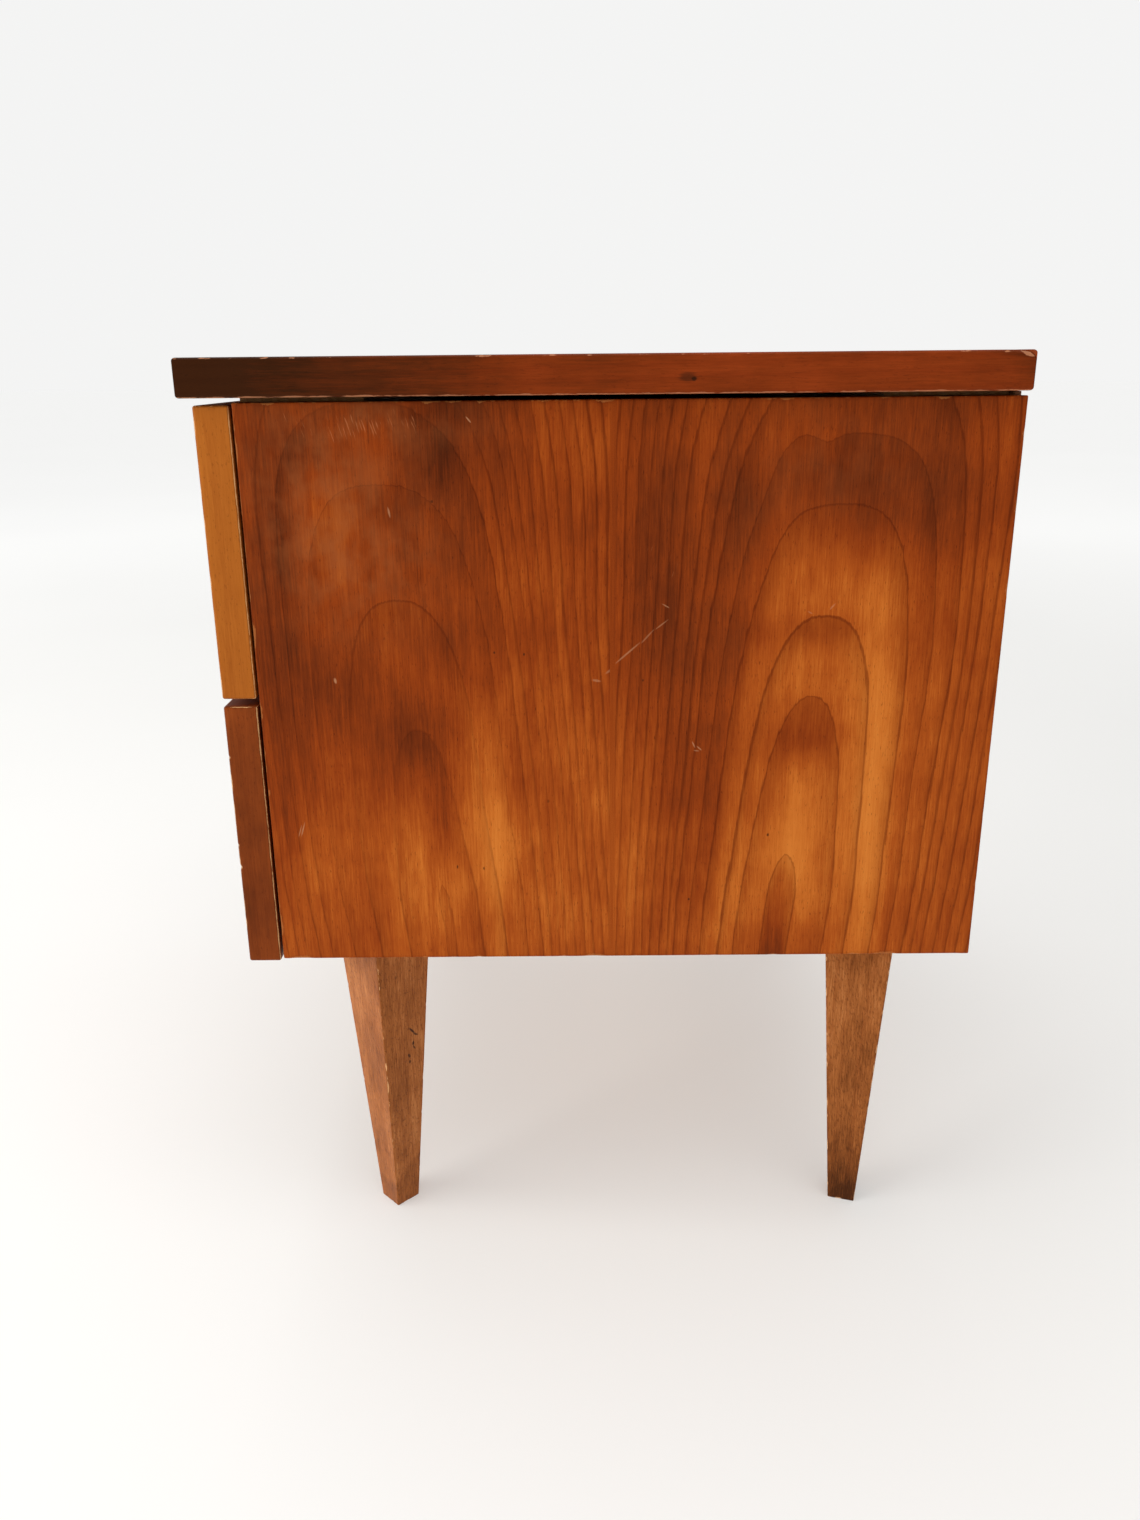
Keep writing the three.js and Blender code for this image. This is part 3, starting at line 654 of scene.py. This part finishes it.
def side_rings(seed):
    """Growth rings of the book-matched veneer, as a function of (across, leaf, up).

    across runs outwards from the seam, and leaf is 0 for the right-hand leaf and 1 for the left.
    """

    def rings(local):
        u, leaf, z = local.T
        warp = soft_noise(np.stack([u / 34, z / 90, 0.5 + 7 * leaf], 1), seed) * 2.6
        warp += soft_noise(np.stack([u / 9, z / 60, 3.5 + 8 * leaf], 1), seed + 1) * 0.7
        place = np.stack([u, z], 1)
        hump = 1.1 * bump_at(place, (100, 274), (5, 14)) - 1.0 * bump_at(place, (86, 270), (12, 12))
        right_height = leaf_height(u + warp, z, *RIGHT_LEAF_CENTRE) + hump
        left_height = leaf_height(u + warp, z, *LEFT_LEAF_CENTRE)
        left = 60 + leaf_rings(left_height, LEFT_LEAF_RINGS)
        return np.where(leaf < 0.5, leaf_rings(right_height, RIGHT_LEAF_RINGS), left)

    return rings


def leaf_map(local, spots):
    """Adds up soft spots, given for each leaf as (across, up, half-widths, amount)."""
    total = np.zeros(len(local))
    for leaf, listed in enumerate(spots):
        mine = local[:, 1] == leaf
        for at, above, wide, tall, amount in listed:
            total[mine] += amount * bump_at(local[mine][:, [0, 2]], (at, above), (wide, tall))
    return total


def make_side(hand, sign, material):
    node = f"side_panel_{hand}"
    low, high = corners(node)
    seam = low[1] + SEAM_FROM_FRONT
    rebate_at = corners("back_panel")[0][1] - 0.1
    across = (seam - 0.03, seam + 0.03, rebate_at, rebate_at + 0.1)
    pitches = (BOARD_PITCH, VENEER_PITCH, VENEER_PITCH)
    flat, faces = board_surface(low, high, SIDE_ARRIS, pitches, ((), across, ()))
    points, outward = round_edges(flat, low, high, SIDE_ARRIS)
    arris = edge_nearness(flat, low, high, 1.4 * EDGE_BAND)
    seed = 11 if sign > 0 else 47
    hit = dent(points, outward, arris, 0.35, 5.0, seed)
    leaf = (flat[:, 1] < seam).astype(float)
    local = np.stack([np.abs(flat[:, 1] - seam), leaf, flat[:, 2] - low[2]], 1)
    rings = side_rings(seed)
    ring = rings(local)
    heart = (leaf < 0.5) * np.clip(5 * (1 - ring), 0, 1)  # the dark middle of the right-hand figure
    outer = high[0] if sign > 0 else low[0]
    behind = flat[:, 1] > rebate_at + 0.05
    share = 1 - BACK_REBATE / (high[0] - low[0])
    points[behind, 0] = outer + (points[behind, 0] - outer) * share
    attributes = {
        "grain": local + leaf[:, None] * (LEFT_LEAF_OFFSET, 0, 0),
        "ring": ring,
        "gap": ring_gap(rings, local, False),
        "tone": leaf_map(local, (RIGHT_LEAF_TONES, LEFT_LEAF_TONES)) - 0.5 * heart,
        "scuff": leaf_map(local, (RIGHT_LEAF_SCUFFS, LEFT_LEAF_SCUFFS)),
        # painted sheen: where a pale reflection is painted on the veneer
        "painted_sheen_patch": leaf_map(local, (RIGHT_LEAF_PAINTED_SHEEN, LEFT_LEAF_PAINTED_SHEEN)),
        "bold": 1 - leaf_map(local, (RIGHT_LEAF_FADED, LEFT_LEAF_FADED)),
        "arris": arris + hit,
    }
    make_piece(node + "_veneered", "carcass", points, faces, attributes, material, [node])


def make_sides():
    looks = dict(
        line=(0.42, 0.3, 0.24), line_amount=0.8, core=0.95, cloud=0.15, band=0.07, fibre=0.15,
        pores=0.75, pore_size=(2.0, 0.3), worn=srgb(190, 122, 66, ON_SIDE), wear=0.35,
        scuffs=srgb(190, 116, 72, ON_SIDE), Specular_IOR_Level=0.14,
    )
    tones = [srgb(*c, ON_SIDE) for c in SIDE_TONES]
    make_side("left", -1, wood("side_veneer_left", tones, **looks))
    make_side("right", 1, wood("side_veneer", tones, marks=SIDE_MARKS, **looks))


# ---- the top ----


def make_top():
    veneer = wood(
        "top_veneer",
        [srgb(*c, ON_TOP) for c in ((92, 38, 12), (126, 52, 15), (152, 68, 20), (178, 90, 32))],
        line=(0.55, 0.4, 0.32), Specular_IOR_Level=0.22,
    )
    low, high = corners("top_panel")
    flat, faces = board_surface(low, high, PANEL_ARRIS, (5, 5, 9))
    local = grain_along_x(flat, (low + high) / 2, 2)

    def rings(place):
        across = place[:, 0] + 12 * np.sin(place[:, 2] / 140) + 22
        across += soft_noise(place / (45, 45, 150), 5) * 4
        width = 1.25 + 0.0016 * (place[:, 2] + 220)
        arch = (np.abs(across / width) ** 2.6 + np.abs(0.16 * (place[:, 2] + 250)) ** 2.6) ** (1 / 2.6)
        return arch / 6.2

    attributes = wood_attributes(local, rings, 21, np.zeros(len(flat)), 0.0, False)
    points, _ = round_edges(flat, low, high, PANEL_ARRIS)
    make_piece(
        "top_panel_veneered", "carcass", points, faces, attributes, veneer, ["top_panel"]
    )

    lipping = wood(
        "edge_lipping",
        [srgb(*c, ON_SIDE) for c in ((50, 20, 5), (82, 31, 7), (114, 42, 9), (136, 52, 15), (154, 64, 22))],
        line=(0.7, 0.56, 0.48), line_amount=0.45, band=0.06, fibre=0.13, pores=0.3, cloud=0.2,
        worn=srgb(206, 140, 100, ON_SIDE), wear=0.5, grime=0.15, marks=LIPPING_MARKS,
        Specular_IOR_Level=0.16,
    )
    for turn, side in enumerate(("front", "right", "rear", "left")):
        make_lipping(side, turn * math.pi / 2, lipping)


# Each edge strip's grain is counted from its own place, so that no two are alike.
LIPPING_OFFSETS = {"front": 100, "right": 200, "rear": 300, "left": 400}
# A small knot in the right-hand strip: (height, inset, along), each from the strip's middle.
LIPPING_MARKS = [
    ((LIPPING_OFFSETS["right"] - 1.5, -6.0, 39.0), (2.6, 6.0, 4.5), 0, (0.03, 0.008, 0.003, 1.0), 0.6),
    ((LIPPING_OFFSETS["right"] - 2.5, -6.0, 42.0), (1.0, 6.0, 1.3), 0, (0.01, 0.004, 0.002, 1.0), 0.8),
]
# Strips whose tone changes along them, darkest at the front right corner: (share of length, tone).
STRIP_TONES = {
    "right": [
        (-0.5, -1.3), (-0.42, -1.2), (-0.27, -0.62), (-0.1, -0.15), (0.08, 0.12), (0.4, 0.25), (0.5, -0.3),
    ],
    "front": [(-0.5, -0.2), (-0.3, 0.15), (0.1, 0.0), (0.3, -0.2), (0.44, -0.55), (0.5, -1.1)],
}


def lipping_section(depth, thickness, radius, steps=4):
    """Outline of an edge strip: (inset from the outer face, height), rounded outside, square inside."""
    arc = [(k / steps) * math.pi / 2 for k in range(steps + 1)]
    upper = [(radius - radius * math.sin(a), thickness - radius + radius * math.cos(a)) for a in arc]
    lower = [(radius - radius * math.cos(a), radius - radius * math.sin(a)) for a in arc]
    face = [(0.0, thickness * f) for f in (0.78, 0.6, 0.4, 0.22)]
    return np.array(upper + face + lower + [(depth, 0.0), (depth, thickness)])


def make_lipping(side, turn, material):
    """A mitred edge strip, made along X with its outer face towards -Y and then turned."""
    node = f"top_lipping_{side}"
    low, high = corners(node)
    long_axis = 0 if side in ("front", "rear") else 1
    length = high[long_axis] - low[long_axis]
    depth = (high - low)[1 - long_axis]
    thickness = high[2] - low[2]
    section = lipping_section(depth, thickness, TOP_ARRIS)
    stations = np.linspace(-0.5, 0.5, 121)
    ends = 0.5 * length - np.array([0.3, 0.8, 1.6, 2.6])
    stations = np.sort(np.concatenate([stations, ends / length, -ends / length]))
    rows = []
    for share in stations:
        reach = length * share * (1 - 2 * section[:, 0] / length)
        rows.append(np.stack([reach, section[:, 0], section[:, 1]], 1))
    local = np.concatenate(rows)
    m, n = len(section), len(stations)
    faces = [
        (i * m + (j + 1) % m, (i + 1) * m + (j + 1) % m, (i + 1) * m + j, i * m + j)
        for i in range(n - 1)
        for j in range(m)
    ]
    faces += [list(range(m))[::-1], list(range((n - 1) * m, n * m))]

    board = np.stack([local[:, 2] - thickness / 2, local[:, 1] - depth / 2, local[:, 0]], 1)
    to_edge = np.minimum(np.abs(local[:, 2]), np.abs(thickness - local[:, 2])) + local[:, 1]
    arris = np.clip(1 - to_edge / 2.6, 0, 1)
    outward = np.stack([local[:, 0] * 0, -np.ones(len(local)), np.sign(local[:, 2] - thickness / 2)], 1) * 0.7
    hit = dent(local, outward, arris, 0.25, 6.0, 300 + LIPPING_OFFSETS[side])
    # The bottom outer edge gets more of the pale edge colour: a painted highlight line along it, over the
    # rubbing.
    arris += 0.5 * (local[:, 2] < 0.7) * (local[:, 1] < 1.6)
    if side == "right":  # the knocked-off upper corner at the rear
        knock = bump_at(local, (length / 2, 0, thickness), (4.5, 2.0, 1.8))
        local[:, 0] -= 1.6 * knock
        local[:, 1] += 0.6 * knock
        local[:, 2] -= 1.5 * knock
        hit = hit + 1.5 * knock
    share = board[:, 2] / length
    if side in STRIP_TONES:
        tone = np.interp(share, *zip(*STRIP_TONES[side]))
    else:
        tone = 0.3 * np.sin(6 * share + length)
    rings = sawn((-30, 40), 31 + LIPPING_OFFSETS[side], 3.6, 0.03)
    attributes = wood_attributes(board, rings, 1, arris + hit, tone)
    attributes["grain"] = board + (LIPPING_OFFSETS[side], 0, 0)

    middle = (low + high) / 2
    foot = {
        "front": (middle[0], low[1]), "right": (high[0], middle[1]),
        "rear": (middle[0], high[1]), "left": (low[0], middle[1]),
    }[side]
    c, sn = round(math.cos(turn)), round(math.sin(turn))
    points = local @ np.array([[c, sn, 0], [-sn, c, 0], [0, 0, 1]]) + (*foot, low[2])
    make_piece(node + "_strip", "carcass", points, faces, attributes, material, [node])


# ---- drawer fronts and knobs ----

# Each front's colours, darkest first, on its face and on its side edges.
HONEY = ((130, 64, 16), (156, 83, 24), (176, 100, 34), (196, 124, 50))
BROWN = ((72, 28, 8), (104, 43, 13), (130, 58, 19), (158, 80, 32))
# Chips on the lower front's right-hand arris: height above its lower edge, size.
LOWER_FRONT_CHIPS = [(117.8, 0.8), (68.6, 0.8), (55.9, 1.2)]


def make_fronts():
    knob_wood = wood(
        "knob_wood", [srgb(58, 24, 9), srgb(92, 40, 15), srgb(128, 62, 24)], line_amount=0.5,
        worn=srgb(150, 90, 50), wear=0.15, Specular_IOR_Level=0.45,
    )
    for level, colours, slot, seed, chips in (
        ("upper", HONEY, "front_honey", 61, []),
        ("lower", BROWN, "front_brown", 83, LOWER_FRONT_CHIPS),
    ):
        tones = [srgb(*c, ON_SIDE) for c in colours]
        # pale is the fronts' edge colour: some rubbing, and painted highlight lines along their rounded
        # edges.
        pale = srgb(226, 176, 120, ON_SIDE)
        soft = {"line": (0.7, 0.56, 0.46), "worn": pale, "Specular_IOR_Level": 0.18}
        face = wood(slot, tones, line_amount=0.7, wear=0.6, grime=0.3, pores=0.35, **soft)
        low, high = corners(f"{level}_drawer_front")
        cross_grain = ("Z", "X", (60.0, 30.0), 7.0, (low + high) / 2 + (0, 9, seed))
        mottle = 0.3 if level == "lower" else 0.09
        edge = wood(
            slot + "_edge", tones, line_amount=0.35, wear=0.75, grime=0.55, cad=cross_grain, gap=7.0,
            fray=1.2, band=0.05, fibre=0.14, cloud=mottle, pores=0.35, pore_size=(1.2, 0.5), **soft,
        )
        make_front(level, (face, edge), seed, chips)
        make_knob(level, knob_wood)


def make_front(level, materials, seed, chips):
    node = f"{level}_drawer_front"
    low, high = corners(node)
    heights = [low[2] + h + d * size for h, size in chips for d in (-1.6, -0.8, 0, 0.8, 1.6)]
    flat, faces = board_surface(low, high, FRONT_ARRIS, (5, 5, 4), ((), (), heights))
    points, outward = round_edges(flat, low, high, FRONT_ARRIS)
    arris = edge_nearness(flat, low, high, 0.7 * EDGE_BAND)
    hit = dent(points, outward, arris, 0.12, 5.0, seed)
    # The edges along the back face get more pale edge colour: a painted highlight line on the rear arris.
    arris += 0.3 * (points[:, 1] > high[1] - 0.6) * (arris > 0)
    for h, size in chips:
        knock = bump_at(points, (high[0], low[1], low[2] + h), (0.9 * size, 0.9 * size, 0.6 * size))
        points -= outward * (0.9 * size * knock)[:, None]
        hit = hit + 2.5 * np.clip(knock - 0.25, 0, 1)
    local = grain_along_x(flat, (low + high) / 2, 1)

    def rings(place):
        across = place[:, 0] - 14 + soft_noise(place / (40, 40, 150), seed) * 5
        arch = (np.abs(across / 1.3) ** 2.5 + np.abs(0.12 * (place[:, 2] + 240)) ** 2.5) ** (1 / 2.5)
        return arch / 5.2

    attributes = wood_attributes(local, rings, seed, arris + hit, 0.0, False)
    piece = make_piece(
        node + "_veneered", f"{level}_drawer", points, faces, attributes, materials[0], [node]
    )
    piece.data.materials.append(materials[1])
    for polygon in piece.data.polygons:
        polygon.material_index = int(abs(polygon.normal.x) > 0.75)


# A knob's outline: radius, and height from the drawer front.
KNOB_PROFILE = [
    (0.0, 0.1), (6.0, 0.1), (8.2, 0.1), (8.5, 0.4), (8.3, 1.2), (7.8, 2.6), (7.45, 4.2), (7.5, 5.8),
    (8.1, 7.3), (9.3, 8.8), (11.0, 10.1), (12.7, 11.1), (13.9, 12.1), (14.45, 13.2), (14.4, 14.4),
    (13.7, 16.0), (12.3, 17.9), (10.2, 19.6), (7.6, 20.9), (4.6, 21.7), (2.0, 21.95), (0.0, 22.0),
]


def make_knob(level, material):
    """A turned mushroom knob that points along -Y."""
    node = f"{level}_knob"
    low, high = corners(node)
    middle = (low + high) / 2
    fine = [KNOB_PROFILE[0]]
    for (r0, h0), (r1, h1) in zip(KNOB_PROFILE, KNOB_PROFILE[1:]):
        fine += [(r0 + (r1 - r0) * k / 2, h0 + (h1 - h0) * k / 2) for k in (1, 2)]
    profile = np.array(fine)
    around = 56
    angles = np.arange(around) * 2 * math.pi / around
    ring = np.stack([np.cos(angles), np.sin(angles)], 1)
    body = profile[1:-1]
    local = np.concatenate([np.column_stack([ring * r, np.full(around, h)]) for r, h in body])
    local = np.concatenate([local, [[0, 0, profile[0][1]], [0, 0, profile[-1][1]]]])
    faces = ring_quads(len(body), around)
    bottom, top = len(local) - 2, len(local) - 1
    last = (len(body) - 1) * around
    faces += [(bottom, (j + 1) % around, j) for j in range(around)]
    faces += [(top, last + j, last + (j + 1) % around) for j in range(around)]
    points = np.stack([middle[0] + local[:, 0], high[1] + 0.1 - local[:, 2], middle[2] + local[:, 1]], 1)
    board = np.stack([local[:, 0], local[:, 2], local[:, 1]], 1)
    arris = np.clip(1 - np.abs(local[:, 2] - 13.3) / 1.6, 0, 1)
    attributes = wood_attributes(board, sawn((9, -30), 71, 2.6), 71 + len(level), arris)
    make_piece(
        f"{level}_knob_turned", f"{level}_drawer", points, faces, attributes, material, [node]
    )


# ---- legs ----

LEG_TONES = ((70, 34, 12), (122, 66, 28), (160, 93, 45), (190, 122, 69), (216, 154, 100))
# Nicks in the front right leg, in its own frame from the middle of its foot.
NICK = (0.05, 0.016, 0.008, 1.0)
LEG_NICKS = [
    ((-4.9, 15.0, 122.5), (0.8, 3.0, 4.2), 38, NICK, 0.95),
    ((-7.5, 15.0, 119.0), (0.7, 3.0, 2.4), 55, NICK, 0.85),
    ((-5.6, 14.0, 113.5), (1.0, 3.0, 1.8), 0, NICK, 1.0),
    ((-6.2, 14.0, 110.5), (0.6, 3.0, 2.0), 30, NICK, 0.8),
    ((-2.5, 14.0, 106.0), (0.9, 3.0, 1.8), 30, NICK, 0.85),
    ((-3.0, 14.0, 101.5), (0.9, 3.0, 1.2), 0, NICK, 0.75),
    ((6.0, 17.0, 163.0), (1.2, 3.0, 1.4), 20, NICK, 0.4),
    ((-1.0, 17.0, 150.0), (2.2, 3.0, 0.5), -8, NICK, 0.35),
    ((2.0, 12.0, 62.0), (1.6, 3.0, 0.6), 12, NICK, 0.4),
]
REAR_LEG_STREAK = [
    ((2.0, -17.0, 166.0), (0.9, 40.0, 20.0), 9, NICK, 0.5),
    ((-2.5, -17.0, 138.0), (0.8, 40.0, 16.0), 14, NICK, 0.4),
]


def make_legs():
    looks = dict(
        line=(0.66, 0.5, 0.4), line_amount=0.4, core=0.8, fray=0.7, band=0.08, fibre=0.24, cloud=0.22,
        pores=0.45, pore_size=(1.2, 0.34), pore_lean=12.0, pore_limit=0.57,
        worn=srgb(222, 168, 116, ON_SIDE), wear=0.85, grime=0.3, relief=0.12, Specular_IOR_Level=0.16,
    )
    tones = [srgb(*c, ON_SIDE) for c in LEG_TONES]
    plain = wood("leg_wood", tones, **looks)
    streaked = wood("leg_wood_streaked", tones, marks=REAR_LEG_STREAK, **looks)
    nicked = wood("leg_wood_nicked", tones, marks=LEG_NICKS, **looks)
    for k, corner in enumerate(("front_right", "rear_right", "front_left", "rear_left")):
        material = {"front_right": nicked, "rear_right": streaked}.get(corner, plain)
        make_leg(corner, material, 101 + 7 * k)


def leg_turn(node):
    """A leg's angle, the middle of its top and its width there, from the corners of its CAD solid."""
    co = np.array([v.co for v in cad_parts[node].data.vertices]) / MM
    top = co[co[:, 2] > co[:, 2].max() - 0.01][:, :2]
    middle = (co.max(0) + co.min(0))[:2] / 2
    away = top - middle
    far = away[np.argmax(np.round(np.hypot(*away.T), 2) + 1e-4 * away[:, 0])]
    return math.atan2(far[1], far[0]) - math.pi / 4, middle, float(np.hypot(*far)) * math.sqrt(2)


def make_leg(corner, material, seed):
    node = f"leg_{corner}"
    low, high = corners(node)
    turn, middle, top_width = leg_turn(node)
    height, half = high[2] - low[2], top_width / 2
    box_low, box_high = np.array([-half, -half, 0.0]), np.array([half, half, height])
    flat, faces = board_surface(box_low, box_high, LEG_ARRIS, (3.5, 3.5, 1.7))
    points, outward = round_edges(flat, box_low, box_high, LEG_ARRIS)
    arris = edge_nearness(flat, box_low, box_high, 1.2 * EDGE_BAND)
    hit = dent(points, outward, arris, 0.9, (2.4, 2.4, 3.4), seed)
    taper = (LEG_FOOT_WIDTH + (top_width - LEG_FOOT_WIDTH) * points[:, 2] / height) / top_width
    points[:, :2] *= taper[:, None]
    # The foot is darker below a slanting tide line.
    tide = 27 - 0.9 * points[:, 0] + 4 * soft_noise(points / 7, seed + 3)
    below_tide = tide - points[:, 2]
    tone = 0.3 * soft_noise(points / (24, 24, 40), seed)
    if "rear" in corner:
        tone -= 0.75 * np.clip((75 - points[:, 2]) / 60, 0, 1) + 0.3 * np.clip(below_tide / 16, 0, 1)
    else:
        tone -= 0.3 * np.clip(below_tide / 5, 0, 1)
    rings = sawn((30, 14), seed, 5.5, 0.06)
    attributes = wood_attributes(points.copy(), rings, seed, 0.95 * arris + 1.3 * hit, tone)
    attributes["grain"] = points + (0 if "right" in corner else seed)
    c, sn = math.cos(turn), math.sin(turn)
    points[:, :2] = points[:, :2] @ np.array([[c, sn], [-sn, c]]) + middle
    points[:, 2] += low[2]
    make_piece(node + "_worn", "carcass", points, faces, attributes, material, [node])


# ---- the back ----


def make_hardboard():
    sh = Shading("hardboard")
    place = sh.place()
    felt = sh.noise(place, (0.35, 0.35, 0.35), 6.0, 0.72)
    cloud = sh.noise(place, (0.012, 0.012, 0.012), 4.0, 0.6)
    speck = sh.rise(sh.noise(place, (0.9, 0.9, 0.9), 2.0, 0.6), 0.62, 0.74)
    level = sh.math("ADD", sh.spread(felt, 0.3, 0.7), sh.spread(cloud, -0.12, 0.12))
    colour = sh.ramp(level, [(0.0, srgb(92, 54, 30)), (0.5, srgb(124, 78, 46)), (1.0, srgb(150, 102, 64))])
    colour = sh.mix(sh.math("MULTIPLY", speck, 0.5), colour, (0.5, 0.4, 0.32, 1.0), "MULTIPLY")
    return sh.finish(colour, sh.spread(felt, 0.5, 0.7), felt, 0.08, Specular_IOR_Level=0.25)


def make_back(hardboard, steel):
    low, high = corners("back_panel")
    flat, faces = board_surface(low, high, BACK_ARRIS, (12, 9, 12))
    points, _ = round_edges(flat, low, high, BACK_ARRIS)
    # Between its nails a thin board bows in a little.
    inside = np.minimum(points - low, high - points)[:, [0, 2]]
    wave = np.sin(points[:, 0] / 30) * np.sin(points[:, 2] / 24) - 1
    points[:, 1] += 0.12 * wave * np.clip(inside.min(axis=1) / 25, 0, 1)
    make_piece("back_panel_board", "carcass", points, faces, {}, hardboard, ["back_panel"])
    make_nails(low, high, steel)


def make_nails(low, high, steel):
    """Nail heads round the back, 4 mm across, in one piece."""
    inset, pitch, radius, sides = 5.0, 68.0, 2.0, 14
    places = []
    for axis in (0, 2):
        count = round((high[axis] - low[axis] - 2 * inset) / pitch)
        run = np.linspace(low[axis] + inset, high[axis] - inset, count + 1)
        other = 2 - axis
        for fixed in (low[other] + inset, high[other] - inset):
            places += [(p, fixed) for p in run] if axis == 0 else [(fixed, p) for p in run[1:-1]]
    around = np.arange(sides) * 2 * math.pi / sides
    # Outline of a head: radius, and height above the back.
    outline = [(radius, -0.4), (radius, 0.12), (0.8 * radius, 0.26), (0.4 * radius, 0.32)]
    head = np.concatenate(
        [np.stack([r * np.cos(around), np.full(sides, rise), r * np.sin(around)], 1) for r, rise in outline]
    )
    end_faces = [list(range(sides)), list(range(len(head) - sides, len(head)))[::-1]]
    head_faces = ring_quads(len(outline), sides, reverse=True) + end_faces
    points = np.concatenate([head + (x, high[1], z) for x, z in places])
    faces = [[i + n * len(head) for i in face] for n in range(len(places)) for face in head_faces]
    make_piece("back_nails", "carcass", points, faces, {}, steel)


# ---- CAD pieces that keep their shape ----


def make_steel():
    sh = Shading("steel")
    place = sh.place()
    grime = sh.noise(place, (0.6, 0.6, 0.6), 4.0, 0.6)
    colour = sh.ramp(grime, [(0.35, (0.30, 0.28, 0.25, 1)), (0.65, (0.56, 0.55, 0.53, 1))])
    return sh.finish(colour, sh.spread(grime, 0.3, 0.55), grime, 0.03, Metallic=1.0)


def dress(node, material):
    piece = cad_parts[node]
    piece.data.materials.clear()
    piece.data.materials.append(material)


def dress_cad_nodes(hardboard, steel):
    """Wood on the boards that keep their CAD mesh, hardboard on the drawer bottoms, steel on the rest."""
    dressed = set()
    carcass_tones = [srgb(138, 92, 54), srgb(178, 128, 82), srgb(202, 156, 108)]
    drawer_tones = [srgb(158, 108, 66), srgb(196, 146, 98), srgb(216, 172, 126)]

    def dress_board(node, tones, along, flat):
        low, high = corners(node)
        shift = np.random.default_rng(sum(node.encode())).uniform(-20, 20, 3)
        cad = (along, flat, (34.0, 22.0), 4.2, (low + high) / 2 + shift)
        material = wood(
            node + "_wood", tones, cad=cad, gap=4.2, line=(0.78, 0.64, 0.5), line_amount=0.8, pores=0.3,
            Specular_IOR_Level=0.25,
        )
        dress(node, material)
        dressed.add(node)

    for node in ("bottom_panel", "top_rail_front", "top_rail_rear", "mid_rail"):
        dress_board(node, carcass_tones, "X", "Z")
    for level in ("upper", "lower"):
        for hand in ("left", "right"):
            dress_board(f"runner_{level}_{hand}", carcass_tones, "Y", "X")
            dress_board(f"{level}_drawer_side_{hand}", drawer_tones, "Y", "X")
        for part in ("inner_front", "back"):
            dress_board(f"{level}_drawer_{part}", drawer_tones, "X", "Y")
        dress(f"{level}_drawer_bottom", hardboard)
        dressed.add(f"{level}_drawer_bottom")
    for node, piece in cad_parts.items():
        if node not in dressed and not piece.hide_render:
            dress(node, steel)


make_camera()
make_light()
make_floor()
make_sides()
make_top()
make_fronts()
make_legs()
HARDBOARD, STEEL = make_hardboard(), make_steel()
make_back(HARDBOARD, STEEL)
dress_cad_nodes(HARDBOARD, STEEL)
